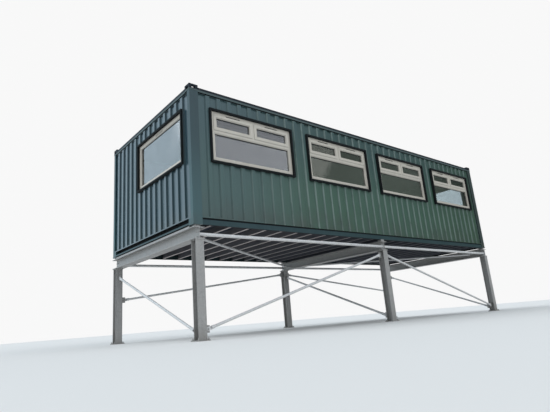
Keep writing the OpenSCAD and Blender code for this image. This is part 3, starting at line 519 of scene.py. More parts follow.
finishPlans = {
    **{name: coachPaint(**paint) for name, paint in coachPaints.items()},
    "railPaint": {  # the band round the head of the cabin, painted dark as partly painted shade, with a painted highlight along its foot
        "base": (0.0035, 0.0070, 0.0120),
        "effects": {"paint": (1.6, 0.0), "streaks": (0.04, 0.6, 0.5)},
        "layers": [
            ("Cloud", (0.008, 0.014, 0.020), 0.6),
            ("Streak", (0.022, 0.030, 0.034), 0.4),
            # painted highlight along the rail's foot
            (("Z", 4.364, 4.356), (0.085, 0.120, 0.120), 0.8),
            (("Z", 4.3235, 4.3215), weatherAndLightColours["paintedShade"], 0.9),  # painted shade in the groove over the walls
        ],
        "rough": ("Cloud", 0.42, 0.58),
        "relief": ("Peel", 0.12, 0.002),
        "plain": {"Specular IOR Level": 0.28},
    },
    # painted shade in the end sills' recess and the side rails' groove
    "sillPaint": recessPaint("X", 4.990, 4.984),
    "sidePaint": recessPaint("Y", 1.834, 1.826),
    "surroundPaint": {
        "base": (0.004, 0.006, 0.007),
        "effects": {"paint": (3.0, 0.0, 220.0), "streaks": (0.03, 0.5, 0.5)},
        "layers": [("Cloud", (0.009, 0.012, 0.013), 0.7), ("Streak", (0.022, 0.025, 0.025), 0.3)],
        "rough": ("Cloud", 0.66, 0.82),
        "relief": ("Peel", 0.1, 0.001),
        "plain": {"Specular IOR Level": 0.2},
    },
    "framePlastic": {
        "base": (0.54, 0.51, 0.45),
        "effects": {"paint": (2.4, 0.0, 420.0), "streaks": (0.025, 0.35, 0.5)},
        "layers": [
            ("Cloud", (0.46, 0.43, 0.38), 0.5),
            ("Streak", (0.30, 0.29, 0.25), 0.35),
            # painted shade on the faces that look down
            ("Below", (0.075, 0.075, 0.070), 0.85),
        ],
        "rough": ("Cloud", 0.29, 0.4),
        "relief": ("Peel", 0.05, 0.0006),
    },
    "windowGlass": windowGlass(1.89),
    "lightGlass": windowGlass(1.65),
    "endGlass": windowGlass(2.65),
    # one zinc in three shades: the tubes' lighter copy is painted light, for the sky on their tops
    "zincSections": galvanised((0.35, 0.345, 0.335), (0.42, 0.41, 0.40), 0.35),
    "zincTubes": galvanised((0.66, 0.66, 0.66), (0.74, 0.74, 0.73), 0.2),
    "boltZinc": galvanised((0.42, 0.42, 0.41), (0.50, 0.50, 0.49), 0.15),
    "blackRubber": blackRubber((0.012, 0.012, 0.012), (0.05, 0.05, 0.048)),
    "mastic": blackRubber((0.030, 0.034, 0.034), (0.08, 0.08, 0.075)),
    "floorSteel": {
        # its pale pinkish base is partly painted light, bounced up from the ground
        "base": (0.56, 0.50, 0.48),
        "effects": {"paint": (2.2, 0.05)},
        "layers": [
            ("Cloud", (0.40, 0.36, 0.35), 0.7),
            (("X", -3.4, 0.8), (0.055, 0.062, 0.085), 0.92),  # painted shade, darker under the cabin's far half
            (("Z", 1.8835, 1.886), (0.045, 0.050, 0.062), 0.9),  # and painted shade above its lower flanges
            ("Chip", (0.18, 0.09, 0.05), 0.7),
        ],
        "relief": ("Peel", 0.15, 0.002),
        "plain": {"Roughness": 0.6},
    },
    "deckBoard": {  # film-faced plywood, with its grain across the cabin; its dark blue is partly painted shade under the cabin
        "base": (0.011, 0.018, 0.034),
        "effects": {"paint": (1.4, 0.0), "grain": ((60.0, 2.0, 60.0), 6.0, 0.6)},
        "layers": [("Grain", (0.024, 0.034, 0.056), 1.0), ("Cloud", (0.009, 0.012, 0.019), 0.6)],
        "relief": ("Grain", 0.2, 0.001),
        "plain": {"Roughness": 0.7},
    },
    "liningBoard": liningBoard((0.46, 0.46, 0.44), (0.38, 0.38, 0.37)),
    # the ceiling's near-black is painted shade inside the cabin
    "ceilingBoard": liningBoard((0.06, 0.06, 0.06), (0.045, 0.045, 0.045)),
    "satinSteel": {
        "base": (0.48, 0.48, 0.47),
        "effects": {"grain": ((40.0, 40.0, 900.0),)},
        "layers": [("Grain", (0.66, 0.66, 0.65), 1.0)],
        "rough": ("Grain", 0.29, 0.42),
        "relief": ("Grain", 0.06, 0.0005),
        "plain": {"Metallic": 1.0},
    },
}


def clearShadows(material):
    # glass lets the lamps through
    tree = material.node_tree
    shader = tree.nodes["Principled BSDF"].outputs["BSDF"]
    rays = addNode(tree, "LightPath").outputs
    clear = addNode(tree, "BsdfTransparent", {"Color": (0.78, 0.82, 0.84, 1)}).outputs[0]
    picked = addNode(tree, "MixShader", {0: rays["Is Shadow Ray"], 1: shader, 2: clear})
    end = tree.nodes["Material Output"]
    tree.links.new(picked.outputs[0], end.inputs["Surface"])


finishes = {name: makeFinish(name, **plan) for name, plan in finishPlans.items()}
for name in ("windowGlass", "lightGlass", "endGlass"):
    clearShadows(finishes[name])

nodeFinishes = {
    "wallPaint": ("front_wall", "rear_wall"),
    "endPaint": ("near_end_wall", "far_end_wall"),
    "framePaint": ("corner_posts", "bottom_corner_castings", "door_frame"),
    "doorPaint": ("door_leaf",),
    "railPaint": ("top_corner_castings", "top_side_rails", "top_end_rails"),
    "sillPaint": ("bottom_end_sills",),
    "sidePaint": ("bottom_side_rails",),
    "roofPaint": ("roof_panel",),
    "surroundPaint": ("front_window_surrounds", "end_window_surrounds", "door_surround"),
    "framePlastic": ("front_window_frames", "front_opening_lights", "window_ventilators",
                     "end_window_frames"),
    "windowGlass": ("front_window_glass",),
    "endGlass": ("end_window_glass",),
    "lightGlass": ("opening_light_glass",),
    "zincSections": ("end_cross_beams", "middle_cross_beam", "front_columns", "rear_columns", "cap_plates",
                     "base_plates", "packers", "brace_cleats"),
    "zincTubes": ("tie_tubes", "front_diagonals", "rear_diagonals", "cross_braces", "plan_braces"),
    "floorSteel": ("cross_members",),
    "deckBoard": ("floor_deck",),
    "liningBoard": ("front_wall_lining", "rear_wall_lining", "end_wall_linings"),
    "ceilingBoard": ("ceiling",),
    "satinSteel": ("door_hinges", "door_handle"),
}


def dressNodes():
    for finish, names in nodeFinishes.items():
        for name in names:
            slots = nodes[name].data.materials
            slots.clear()
            slots.append(finishes[finish])


dressNodes()
print("stage: finishes ready and on the frame's nodes")


def settlePrimitive(name):
    piece = bpy.context.object
    piece.name = name
    bpy.ops.object.transform_apply()
    return piece


def addBlock(name, low, high):
    # a box between two corners, with its place in its mesh
    clearPicks()
    centre = [(a + b) / 2 for a, b in zip(low, high)]
    bpy.ops.mesh.primitive_cube_add(size=1, location=centre, scale=[b - a for a, b in zip(low, high)])
    return settlePrimitive(name)


def addRound(name, place, radius, depth, sides, turn=(0, 0, 0)):
    clearPicks()
    size = {"vertices": sides, "radius": radius, "depth": depth}
    bpy.ops.mesh.primitive_cylinder_add(location=place, rotation=turn, **size)
    return settlePrimitive(name)


def looksTo(*way):
    # picks the faces that look this way
    return lambda middle, normal: normal.dot(Vector(way)) > 0.9


def liesAlong(axis):
    # picks the edges that run along an axis, or the faces across it
    return lambda middle, way: abs(getattr(way, axis)) > 0.9


def pickOnly(piece):
    clearPicks()
    piece.select_set(True)
    bpy.context.view_layer.objects.active = piece


def openPiece(piece, kind, test):
    # edit mode, with only the faces or edges picked whose middle and way pass the test
    pickOnly(piece)
    bpy.ops.object.mode_set(mode="EDIT")
    bpy.ops.mesh.select_mode(type=kind)
    bpy.ops.mesh.select_all(action="DESELECT")
    mesh = bmesh.from_edit_mesh(piece.data)
    for part in mesh.faces if kind == "FACE" else mesh.edges:
        if kind == "FACE":
            middle, way = part.calc_center_median(), part.normal
        else:
            one, two = (vert.co for vert in part.verts)
            middle, way = (one + two) / 2, (two - one).normalized()
        if test(middle, way):
            part.select_set(True)
    bmesh.update_edit_mesh(piece.data)


def closePiece():
    bpy.ops.object.mode_set(mode="OBJECT")


def insetFaces(piece, test, *steps):
    # draws the picked faces in, once for each thickness and depth
    openPiece(piece, "FACE", test)
    for thickness, depth in steps:
        bpy.ops.mesh.inset(thickness=thickness, depth=depth)
    closePiece()


def bevelEdges(piece, test, offset, segments):
    openPiece(piece, "EDGE", test)
    bpy.ops.mesh.bevel(offset=offset, segments=segments)
    closePiece()


def narrowFaces(piece, test, scale):
    openPiece(piece, "FACE", test)
    bpy.ops.transform.resize(value=scale)
    closePiece()


def rippleRod(piece, axis, cuts, wobble, seed):
    # cuts a rod along its length and moves its points a little, as on a weld
    openPiece(piece, "EDGE", liesAlong(axis))
    bpy.ops.mesh.subdivide(number_cuts=cuts)
    bpy.ops.mesh.select_all(action="SELECT")
    bpy.ops.transform.vertex_random(offset=wobble, seed=seed)
    closePiece()


def roundEdges(piece, width):
    pickOnly(piece)
    bevel = piece.modifiers.new("softEdges", "BEVEL")
    bevel.width = width
    bevel.segments = 2
    bevel.limit_method = "ANGLE"
    bevel.angle_limit = math.radians(40)
    bpy.ops.object.modifier_apply(modifier=bevel.name)


def joinPieces(name, parts):
    clearPicks()
    for part in parts:
        part.select_set(True)
    bpy.context.view_layer.objects.active = parts[0]
    if len(parts) > 1:
        bpy.ops.object.join()
    parts[0].name = name
    return parts[0]


def spreadCopies(name, model, places):
    # the model copied to every place, each copy with its own mesh, and joined into one piece
    copies = []
    for place in places:
        clone = model.copy()
        clone.data = model.data.copy()
        clone.data.transform(place)
        scene.collection.objects.link(clone)
        copies.append(clone)
    bpy.data.objects.remove(model, do_unlink=True)
    return joinPieces(name, copies)


def finishPiece(piece, finish, smooth=35):
    piece.data.materials.clear()
    piece.data.materials.append(finishes[finish])
    pickOnly(piece)
    bpy.ops.object.shade_smooth_by_angle(angle=math.radians(smooth))
    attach(piece, "root")


def placePiece(name, model, places, finish, smooth=35):
    finishPiece(spreadCopies(name, model, places), finish, smooth)


def buildFrame(name, width, height, face, depth):
    # ring that fills the edge of an opening standing on z = 0, from y = -depth to 0
    piece = addBlock(name, (-width / 2, -depth, 0), (width / 2, 0, height))
    openPiece(piece, "FACE", liesAlong("y"))
    bpy.ops.mesh.inset(thickness=face, depth=0)
    bpy.ops.mesh.bridge_edge_loops()
    closePiece()
    return piece


def facing(point, way):
    # places a model whose +Z is to point along the given way
    return Matrix.Translation(point) @ Vector(way).to_track_quat("Z", "Y").to_matrix().to_4x4()


# the wall openings: middle of the clear bottom edge on the wall's outer plane, and the turn from the front
openings = {
    "front": [((x, -1.85, 3.047), 0) for x in (-3.6135, -1.2045, 1.2045, 3.6135)],
    "ends": [((-5.0, -0.575, 3.047), -90), ((5.0, -0.575, 3.047), 90)],
    "door": [((2.3, 1.85, 2.032), 180)],
}
openings["windows"] = openings["front"] + openings["ends"]
lights = (-0.46085, 0.46085)  # middles of the two opening lights, from their window's own
setBack = 0.020  # faces of the window and door frames, behind the wall's outer plane
bedding = 0.0005  # how far a trim reaches into what carries it, so that no gap shows


def onWall(opening, shift=(0, 0, 0)):
    # places a model drawn in front of the y = 0 plane on the wall of an opening
    place, turn = opening
    return Matrix.Translation(place) @ Matrix.Rotation(math.radians(turn), 4, "Z") @ Matrix.Translation(shift)


def placesOn(wall, depth, rise, shifts=(0,)):
    return [onWall(opening, (shift, depth, rise)) for opening in openings[wall] for shift in shifts]


standSettings = {
    "frameX": 4.903,  # middle of an end frame
    "columnY": 1.789,
    "columnReach": 0.134,  # from a column's middle to a brace bolt
    "beamReach": 0.160,
    "headZ": 1.500,  # upper bolts of the long diagonals
    "feet": ((-1, 0.175), (1, 0.930)),  # their lower bolts, on the front and the rear
    "crossY": 1.655,
    "crossHeadZ": 1.400,
    "crossFootZ": 0.150,
    "planY": 1.520,
    "planZ": 1.7185,
    "tabFace": 0.0153,  # outer face of a tab from the middle of its cleat
    "grip": 0.0203,  # plates that a brace bolt holds
    "capZ": 1.605,  # underside of the cap plates
    "baseZ": 0.015,
}

frameRow = (-standSettings["frameX"], 0, standSettings["frameX"])
columns = [(x, y) for x in frameRow for y in (-standSettings["columnY"], standSettings["columnY"])]

boltSettings = {
    "across": 0.024,  # over the flats of an M16 head
    "headHigh": 0.010,
    "nutHigh": 0.013,
    "washer": 0.030,
    "washerHigh": 0.003,
    "thread": 0.016,
    "threadEnd": 0.007,  # thread that shows past the nut
    "studFoot": 0.012,  # depth of an anchor's thread in its plate
    "studEnd": 0.0175,
    "crown": (0.0016, 0.0009),  # how far the face of a head or nut is drawn in and raised
    "chamfer": (0.0012, 0.0008),  # the same for a thread's ends
    "washerEdge": 0.0005,
}


def buildHex(name, low, high):
    # six-sided head or nut with its outer face drawn in and crowned
    radius = boltSettings["across"] / math.sqrt(3)
    piece = addRound(name, (0, 0, (low + high) / 2), radius, high - low, sides=6)
    insetFaces(piece, liesAlong("z"), boltSettings["crown"])
    return piece


def buildWasher(low):
    high = boltSettings["washerHigh"]
    piece = addRound("washer", (0, 0, low + high / 2), boltSettings["washer"] / 2, high, sides=20)
    bevelEdges(piece, lambda middle, way: abs(way.z) < 0.1, boltSettings["washerEdge"], 1)
    return piece


def buildThread(low, high):
    # thread end with a chamfer
    piece = addRound("thread", (0, 0, (low + high) / 2), boltSettings["thread"] / 2, high - low, sides=12)
    insetFaces(piece, liesAlong("z"), boltSettings["chamfer"])
    return piece


def buildBolt(grip):
    # head above z = 0, nut and thread end below the gripped plates
    high = boltSettings["washerHigh"]
    nutTop = -grip - high
    nutFoot = nutTop - boltSettings["nutHigh"]
    return joinPieces("boltModel", [
        buildHex("head", high, high + boltSettings["headHigh"]),
        buildWasher(0),
        buildWasher(nutTop),
        buildHex("nut", nutFoot, nutTop),
        buildThread(nutFoot - boltSettings["threadEnd"], high),
    ])


def buildAnchor():
    # washer, nut and stud end over a base plate
    high = boltSettings["washerHigh"]
    nutTop = high + boltSettings["nutHigh"]
    return joinPieces("anchorModel", [
        buildHex("nut", high, nutTop),
        buildWasher(0),
        buildThread(-boltSettings["studFoot"], nutTop + boltSettings["studEnd"]),
    ])


def buildBraceBolts():
    plan = standSettings
    tab = plan["tabFace"]
    places = []
    for side in (-1, 1):
        footX, headX = side * (plan["frameX"] - plan["columnReach"]), side * plan["columnReach"]
        for face, footZ in plan["feet"]:
            y = face * (plan["columnY"] + tab)
            for x, z in ((footX, footZ), (headX, plan["headZ"])):
                places.append(facing((x, y, z), (0, face, 0)))
        footX, headX = side * (plan["frameX"] - plan["beamReach"]), side * plan["beamReach"]
        for x, y in ((footX, -plan["planY"]), (headX, plan["planY"])):
            places.append(facing((x, y, plan["planZ"] - tab), (0, 0, -1)))
    for x, way in zip(frameRow, (-1, -1, 1)):
        for y, z in ((-plan["crossY"], plan["crossFootZ"]), (plan["crossY"], plan["crossHeadZ"])):
            places.append(facing((x + way * tab, y, z), (way, 0, 0)))
    placePiece("braceBolts", buildBolt(plan["grip"]), places, "boltZinc")


tieSettings = {
    "middle": (1.802, 1.7025),  # y and z of a tube's middle
    "spread": (0.030, 0.040),  # bolts from there
    "scale": 0.75,  # M12 bolts, from the M16 model
    "face": 0.0119,  # a tie plate's face from the middle of its beam
    "grips": (0.0155, 0.0238),  # at the ends, and through the middle beam
}


def buildTieBolts():
    plan = tieSettings
    size = plan["scale"]
    small = Matrix.Scale(size, 4)
    endX = standSettings["frameX"] - plan["face"]
    endPlaces, middlePlaces = [], []
    for side in (-1, 1):
        for dy in (-1, 1):
            for dz in (-1, 1):
                y = side * plan["middle"][0] + dy * plan["spread"][0]
                z = plan["middle"][1] + dz * plan["spread"][1]
                endPlaces += [facing((end * endX, y, z), (-end, 0, 0)) @ small for end in (-1, 1)]
                middlePlaces.append(facing((-plan["face"], y, z), (-1, 0, 0)) @ small)
    ends = spreadCopies("tieEndBolts", buildBolt(plan["grips"][0] / size), endPlaces)
    middles = spreadCopies("tieMiddleBolts", buildBolt(plan["grips"][1] / size), middlePlaces)
    finishPiece(joinPieces("tieBolts", [ends, middles]), "boltZinc")


columnBoltSettings = {
    "capSpread": 0.045,  # bolts from a column's middle
    "capGrip": 0.023,
    "baseSpread": 0.090,
}


def buildColumnBolts():
    # four under each cap plate, between the column's flanges, and four anchors on each base plate
    plan = columnBoltSettings

    def fours(spread, z, way):
        return [facing((x + dx * spread, y + dy * spread, z), (0, 0, way))
                for x, y in columns for dx in (-1, 1) for dy in (-1, 1)]

    caps = fours(plan["capSpread"], standSettings["capZ"], -1)
    anchors = fours(plan["baseSpread"], standSettings["baseZ"], 1)
    placePiece("capBolts", buildBolt(plan["capGrip"]), caps, "boltZinc")
    placePiece("anchorBolts", buildAnchor(), anchors, "boltZinc")


weldSettings = {
    "radius": 0.0048,
    "length": 0.150,
    "ripple": 0.0007,
    "pitches": 16,
    "flange": (0.072, 0.076),  # half the length of a bead on a flange, and its place from the column's middle
    "web": (0.066, 0.003),
    "cleat": (0.056, 0.005),  # the same for a cleat's upright beads, from the cleat's middle
}


def buildBead():
    # fillet weld along x, with the ripples left by each run
    plan = weldSettings
    turn = (0, math.radians(90), 0)
    bead = addRound("bead", (0, 0, 0), plan["radius"], plan["length"], sides=8, turn=turn)
    rippleRod(bead, "x", plan["pitches"], plan["ripple"], seed=4)
    return bead


def runAlong(start, end):
    # stretches the bead between two points
    start, end = Vector(start), Vector(end)
    turn = (end - start).to_track_quat("X", "Z").to_matrix().to_4x4()
    stretch = Matrix.Diagonal(((end - start).length / weldSettings["length"], 1, 1, 1))
    return Matrix.Translation((start + end) / 2) @ turn @ stretch


def buildStandWelds():
    plan = standSettings
    flangeHalf, flangeOut = weldSettings["flange"]
    webHalf, webOut = weldSettings["web"]
    cleatHalf, cleatOut = weldSettings["cleat"]
    runs = []

    def upright(x, y, z):
        runs.append(runAlong((x, y, z - cleatHalf), (x, y, z + cleatHalf)))

    for x, y in columns:
        for z in (plan["baseZ"], plan["capZ"]):
            for side in (-1, 1):
                flange, web = y + side * flangeOut, x + side * webOut
                runs.append(runAlong((x - flangeHalf, flange, z), (x + flangeHalf, flange, z)))
                runs.append(runAlong((web, y - webHalf, z), (web, y + webHalf, z)))
    for side in (-1, 1):
        for face, footZ in plan["feet"]:
            for x, z in ((side * (plan["frameX"] - webOut), footZ), (side * webOut, plan["headZ"])):
                for edge in (-cleatOut, cleatOut):
                    upright(x, face * plan["columnY"] + edge, z)
    inner = plan["columnY"] - flangeOut
    for x in frameRow:
        for y, z in ((-inner, plan["crossFootZ"]), (inner, plan["crossHeadZ"])):
            for edge in (-cleatOut, cleatOut):
                upright(x + edge, y, z)
    placePiece("standWelds", buildBead(), runs, "zincSections", smooth=60)


buildBraceBolts()
buildTieBolts()
buildColumnBolts()
buildStandWelds()
print("stage: bolts and welds of the stand made")

gasketSettings = {
    "panes": (  # wall, middles, width, height, bottom edge and depth behind the wall plane
        ("front", (0,), 1.7434, 0.4487, 0.0843, 0.0423),
        ("front", lights, 0.7377, 0.1707, 0.6750, 0.0323),
        ("ends", (0,), 1.7434, 0.8034, 0.0843, 0.0423),
    ),
    "face": 0.006,  # rubber that shows round each pane
    "deep": 0.0025,
    "edge": 0.0007,
    "headHigh": 0.013,  # dark wedge along a pane's head, painted shade
    "headDeep": 0.004,
    "headEnds": 0.004,  # gap at each end of it
    "headDrop": 0.001,  # under the pane's top edge
    "headEdge": 0.0018,
}


def buildGaskets():
    plan = gasketSettings
    deep, high = plan["headDeep"], plan["headHigh"]
    parts = []
    for wall, shifts, width, height, rise, depth in plan["panes"]:
        ring = buildFrame("gasket", width, height, plan["face"], plan["deep"])
        roundEdges(ring, plan["edge"])
        parts.append(spreadCopies("gaskets", ring, placesOn(wall, depth + bedding, rise, shifts)))

        # the deeper dark wedge along the head of a pane is painted shade, put where the head casts its shade
        half = width / 2 - plan["headEnds"]
        head = addBlock("head", (-half, -deep, 0), (half, 2 * bedding, high))
        bevelEdges(head, lambda middle, way: abs(way.x) > 0.9 and middle.y < -deep / 2, plan["headEdge"], 2)
        foot = rise + height - high - plan["headDrop"]
        parts.append(spreadCopies("shadeWedges", head, placesOn(wall, depth, foot, shifts)))
    finishPiece(joinPieces("gasketsAndShadeWedges", parts), "blackRubber")


ventSettings = {
    "size": (0.310, 0.011, 0.0025),  # length, height and how far it stands out
    "rise": 0.925,  # its middle over the clear bottom edge
    "corner": 0.4,  # rounding of its ends, as a share of the height
    "hollow": (0.0016, -0.0014),  # width of its rim and depth of the slot
    "webs": 13,
    "webWide": 0.0016,
    "webDepths": (0.0004, 0.0018),  # from the rim back to their faces
    "webGap": 0.0012,
}


def buildVentSlots():
    # black louvre strip under each ventilator's hood, with thin webs across its slot
    plan = ventSettings
    long, high, proud = plan["size"]
    wide = plan["webWide"]
    strip = addBlock("strip", (-long / 2, -proud, -high / 2), (long / 2, bedding, high / 2))
    bevelEdges(strip, liesAlong("y"), high * plan["corner"], 4)
    insetFaces(strip, looksTo(0, -1, 0), plan["hollow"])
    reach = high / 2 - plan["webGap"]
    front, back = (depth - proud for depth in plan["webDepths"])
    web = addBlock("web", (-wide / 2, front, -reach), (wide / 2, back, reach))
    narrowFaces(web, looksTo(0, -1, 0), (0.5, 1, 1))
    step = long / (plan["webs"] + 1)
    steps = [Matrix.Translation((step * (number + 1) - long / 2, 0, 0)) for number in range(plan["webs"])]
    model = joinPieces("strip", [strip, spreadCopies("webs", web, steps)])
    places = placesOn("front", setBack, plan["rise"], lights) + placesOn("ends", setBack, plan["rise"])
    placePiece("ventSlots", model, places, "blackRubber")


mitreSettings = {
    # half width, low and high edges of the outer rectangle, face width, depth behind the wall plane
    "frame": (0.9557, 0.0003, 0.9717, 0.068, setBack),
    "sash": (0.43485, 0.609, 0.9117, 0.050, 0.010),
    "surround": (0.994, -0.038, 1.010, 0.038, -0.030),
    "line": 0.0014,
    "stands": (-0.0004, 0.0005),  # its foot and top, from the frame's face
    "share": 0.96,  # of the way from corner to corner
}


def cornerLine(opening, shift, start, end):
    # lays a unit strip on the face of a frame, between two of its corners
    wall = onWall(opening, (shift, 0, 0))
    a, b = wall @ Vector(start), wall @ Vector(end)
    way = b - a
    out = wall.to_3x3() @ Vector((0, -1, 0))
    turn = Matrix((way.normalized(), out.cross(way).normalized(), out)).transposed().to_4x4()
    stretch = Matrix.Diagonal((way.length * mitreSettings["share"], 1, 1, 1))
    return Matrix.Translation((a + b) / 2) @ turn @ stretch


def buildMitres(name, finish, rows):
    # the faint lines that welded frame corners keep
    wide = mitreSettings["line"]
    foot, top = mitreSettings["stands"]
    strip = addBlock("line", (-0.5, -wide / 2, foot), (0.5, wide / 2, top))
    narrowFaces(strip, looksTo(0, 0, 1), (1, 0.5, 1))
    places = []
    for kind, wall, shifts in rows:
        half, low, high, face, depth = mitreSettings[kind]
        ends = []
        for side in (-1, 1):
            inner = side * (half - face)
            ends.append(((side * half, depth, low), (inner, depth, low + face)))
            ends.append(((side * half, depth, high), (inner, depth, high - face)))
        places += [cornerLine(opening, shift, start, end)
                   for opening in openings[wall] for shift in shifts for start, end in ends]
    placePiece(name, strip, places, finish)


fittingSettings = {
    "drainX": (-0.58, 0.58),  # drain covers from a window's middle
    "drainZ": 0.030,
    "drainSize": (0.036, 0.010, 0.0035),
    "drainCorner": 0.45,  # rounding of its ends, as a share of the height
    "drainRim": (0.0012, 0.0006),
    "handleBase": (0.064, 0.012, 0.020),  # width, thickness and height
    "handleRim": 0.005,  # of the base, round the neck
    "handleNeck": 0.022,
    "handleLever": 0.110,
    "handleTaper": (1, 0.6, 0.8),  # of the lever's end
    "handleEdge": 0.0022,
    "handlePlace": (0.0722, 0.638),  # depth behind the wall plane and height
}


def buildWindowFittings():
    plan = fittingSettings
    long, high, proud = plan["drainSize"]
    cover = addBlock("cover", (-long / 2, -proud, -high / 2), (long / 2, 0, high / 2))
    bevelEdges(cover, liesAlong("y"), high * plan["drainCorner"], 4)
    insetFaces(cover, looksTo(0, -1, 0), plan["drainRim"])
    places = placesOn("windows", setBack, plan["drainZ"], plan["drainX"])
    placePiece("drainCovers", cover, places, "framePlastic")

    # espagnolette handles inside the opening lights: a base on the sash, and a lever that is bent from it
    long, thick, high = plan["handleBase"]
    handle = addBlock("handle", (-long / 2, 0, -high / 2), (long / 2, thick, high / 2))
    openPiece(handle, "FACE", looksTo(0, 1, 0))
    bpy.ops.mesh.inset(thickness=plan["handleRim"], depth=0)
    bpy.ops.mesh.extrude_region_move(TRANSFORM_OT_translate={"value": (0, plan["handleNeck"], 0)})
    closePiece()
    openPiece(handle, "FACE", lambda middle, normal: normal.x > 0.9 and middle.y > thick)
    bpy.ops.mesh.extrude_region_move(TRANSFORM_OT_translate={"value": (plan["handleLever"], 0, 0)})
    bpy.ops.transform.resize(value=plan["handleTaper"])
    closePiece()
    roundEdges(handle, plan["handleEdge"])
    places = placesOn("front", *plan["handlePlace"], lights)
    placePiece("windowHandles", handle, places, "framePlastic")


closureSettings = {
    # openings, outer width, height and bottom edge of their surrounds
    "surrounds": (("windows", 1.988, 1.048, -0.038), ("door", 1.036, 2.156, -0.038)),
    "sheet": 0.0020,
    "depth": 0.0285,  # from the wall's crests back to its recesses
    "front": 0.006,  # the wall's crests behind the wall plane
    "bead": (0.007, 0.0035, 0.0025),  # width, depth and rounding
}


def buildClosures():
    # folded strips that close the wall's recesses behind each surround, and the mastic along its edge
    plan = closureSettings
    edge, thick, rounding = plan["bead"]
    strips, beads = [], []
    for wall, width, height, rise in plan["surrounds"]:
        strip = buildFrame("closure", width, height, plan["sheet"], plan["depth"])
        strips.append(spreadCopies("closures", strip, placesOn(wall, plan["front"] + plan["depth"], rise)))
        bead = buildFrame("mastic", width + edge, height + edge, edge, thick)
        roundEdges(bead, rounding)
        beads.append(spreadCopies("mastics", bead, placesOn(wall, plan["front"] + bedding, rise - edge / 2)))
    finishPiece(joinPieces("surroundClosures", strips), "surroundPaint")
    finishPiece(joinPieces("masticBeads", beads), "mastic")


buildGaskets()
buildVentSlots()
buildMitres("frameMitres", "framePlastic",
            (("frame", "windows", (0,)), ("sash", "front", lights)))
buildMitres("surroundMitres", "surroundPaint", (("surround", "front", (0,)),))
buildWindowFittings()
buildClosures()
print("stage: window pieces made")

seamSettings = {
    "radius": 0.0018,
    "wobble": 0.00012,
    "cuts": 60,
    "foot": 2.006,
    "head": 4.294,
    "underWindow": 3.004,
    "overWindow": 4.062,
    "sideY": 1.8165,
    "sideFirst": -4.503,  # middle of the recess after the first crest, on a long side
    "sideSeams": (-3.6, -2.41, -1.2, 0, 1.2, 2.41, 3.6),
    "piers": (-2.41, 0, 2.41),  # the ones between two windows, on the front
    "behindDoor": 2.41,  # no seam here on the rear
    "endX": 4.9665,
    "endFirst": -1.414,
    "endSeams": (0.96, -0.7),  # beside the window, and under it
    "pitch": 0.237,
}


def buildWallSeams():
    # upright welds between the wall's sheets, each in the middle of a recess
    plan = seamSettings
    whole, under, over = ((plan[low], plan[high]) for low, high in (
        ("foot", "head"), ("foot", "underWindow"), ("overWindow", "head")))
    runs = []

    def addRun(x, y, span):
        low, high = span
        runs.append(Matrix.Translation((x, y, (low + high) / 2)) @ Matrix.Diagonal((1, 1, high - low, 1)))

    def nearest(first, wanted):
        return first + plan["pitch"] * round((wanted - first) / plan["pitch"])

    for wanted in plan["sideSeams"]:
        x = nearest(plan["sideFirst"], wanted)
        for span in (whole,) if wanted in plan["piers"] else (under, over):
            addRun(x, -plan["sideY"], span)
        if wanted != plan["behindDoor"]:
            addRun(x, plan["sideY"], whole)
    for side in (-1, 1):
        for wanted, span in zip(plan["endSeams"], (whole, under)):
            addRun(side * plan["endX"], nearest(plan["endFirst"], wanted), span)
    seam = addRound("seam", (0, 0, 0), plan["radius"], 1, sides=8)
    rippleRod(seam, "z", plan["cuts"], plan["wobble"], seed=9)
    placePiece("wallSeams", seam, runs, "wallPaint", smooth=60)


roofSettings = {
    "crestFirst": -4.807,  # middle of the first raised flat
    "pitch": 0.209,
    "laps": (7, 15, 23, 31, 39),
    "lapWide": 0.046,
    "lapSpan": (-0.0003, 0.0018),  # a lap's foot and top, from the crests' own
    "hem": (0.006, 0.0012),  # how far its middle is drawn in and raised
    "top": 4.397,
    "reach": 1.784,
}


def buildRoofLaps():
    # cover strips over the joints of the roof sheets, seamed down at both edges
    plan = roofSettings
    half, reach = plan["lapWide"] / 2, plan["reach"]
    foot, top = plan["lapSpan"]
    lap = addBlock("lap", (-half, -reach, foot), (half, reach, top))
    insetFaces(lap, looksTo(0, 0, 1), plan["hem"])
    crests = [plan["crestFirst"] + plan["pitch"] * number for number in plan["laps"]]
    places = [Matrix.Translation((x, 0, plan["top"])) for x in crests]
    placePiece("roofLaps", lap, places, "roofPaint")


doorSettings = {
    "leaf": (0.8574, 1.9774, 0.0513),  # width, height and bottom edge over the doorway's own
    "gap": 0.0029,  # round the leaf, where the seal lies
    "seal": (0.0028, 0.006),  # its face and depth
    "sealDepth": 0.030,  # behind the wall plane
    "drip": (0.026, 0.032, 0.030),  # how far the bar stands out, its height, and its foot over the leaf's
    "dripEnds": 0.012,  # gap at each end of it
    "dripSlope": 0.019,
    "dripHollow": (0.003, -0.004),  # the groove on its underside
    "tread": (0.005, 0.010, 0.0012),  # first edge, width of a rib and thickness
    "treadRibs": 3,
    "treadPlace": (0.018, 0.0485),  # depth behind the wall plane and height
    "rose": (0.026, 0.008),  # radius and thickness
    "roseSteps": ((0.006, 0.002), (0.008, -0.003)),  # its raised middle, and the hollow in that
    "keyway": ((-0.0012, -0.0085, -0.008), (0.0012, -0.002, 0.008)),  # two corners, from the leaf's face
    "keyEdge": 0.0005,
    "lock": (0.366, 0.898),  # its place on the leaf
    "screw": (0.0042, 0.0012),
    "screwSteps": ((0.0014, 0.0005), (0.0012, -0.0009)),  # its crown, and the socket in it
    "screws": ((0.366, 0.016, 0.955), (0.366, 0.016, 1.125)),  # the two on the handle's plate
    "hingeFace": (-0.408, 0.017),  # x, and the depth behind the wall plane
    "hingeZ": (0.3296, 0.9887, 1.6478),
    "hingeScrews": (0.020, 0.055, 0.090),
}


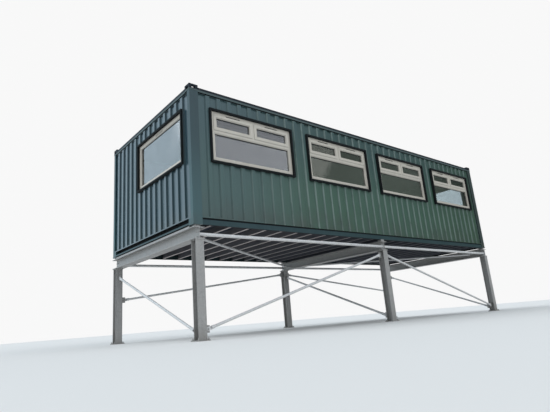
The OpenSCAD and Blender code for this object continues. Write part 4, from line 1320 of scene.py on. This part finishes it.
def buildDoorFittings():
    plan = doorSettings
    width, height, rise = plan["leaf"]
    gap = plan["gap"]
    seal = buildFrame("doorSeal", width + 2 * gap, height + 2 * gap, *plan["seal"])
    placePiece("doorSeal", seal, placesOn("door", plan["sealDepth"], rise - gap), "blackRubber")

    # weather bar on the foot of the leaf, sloped to throw rain off
    out, high, foot = plan["drip"]
    half = width / 2 - plan["dripEnds"]
    drip = addBlock("dripBar", (-half, -out, 0), (half, 0, high))

    def isFrontTop(middle, way):
        return abs(way.x) > 0.9 and middle.y < -out / 2 and middle.z > high / 2

    bevelEdges(drip, isFrontTop, plan["dripSlope"], 3)
    insetFaces(drip, looksTo(0, 0, -1), plan["dripHollow"])
    places = placesOn("door", setBack, rise + foot)
    placePiece("doorDripBar", drip, places, "satinSteel")

    # tread strip on the frame's foot, where every second band is raised as a rib
    edge, wide, thick = plan["tread"]
    bands = 2 * plan["treadRibs"] + 1
    tread = addBlock("tread", (-width / 2, edge, 0), (width / 2, edge + bands * wide, thick))
    openPiece(tread, "EDGE", liesAlong("y"))
    bpy.ops.mesh.subdivide(number_cuts=bands - 1)
    closePiece()
    openPiece(tread, "FACE", lambda middle, normal: normal.z > 0.9 and (middle.y - edge) / wide % 2 > 1)
    bpy.ops.mesh.extrude_region_move(TRANSFORM_OT_translate={"value": (0, 0, thick)})
    closePiece()
    placePiece("doorTread", tread, placesOn("door", *plan["treadPlace"]), "satinSteel")

    # lock cylinder in a raised rose, with a keyway
    upright = (math.radians(90), 0, 0)
    radius, thick = plan["rose"]
    rose = addRound("rose", (0, -thick / 2, 0), radius, thick, sides=40, turn=upright)
    insetFaces(rose, looksTo(0, -1, 0), *plan["roseSteps"])
    core = addBlock("core", *plan["keyway"])
    roundEdges(core, plan["keyEdge"])
    across, up = plan["lock"]
    places = placesOn("door", setBack, up, (across,))
    placePiece("doorLock", joinPieces("lock", [rose, core]), places, "satinSteel")

    radius, thick = plan["screw"]
    screw = addRound("screw", (0, -thick / 2, 0), radius, thick, sides=16, turn=upright)
    insetFaces(screw, looksTo(0, -1, 0), *plan["screwSteps"])
    spots = list(plan["screws"])
    spots += [(*plan["hingeFace"], z + step) for z in plan["hingeZ"] for step in plan["hingeScrews"]]
    places = [onWall(openings["door"][0], spot) for spot in spots]
    placePiece("doorScrews", screw, places, "satinSteel")


buildWallSeams()
buildRoofLaps()
buildDoorFittings()
print("stage: wall, roof and door pieces made")
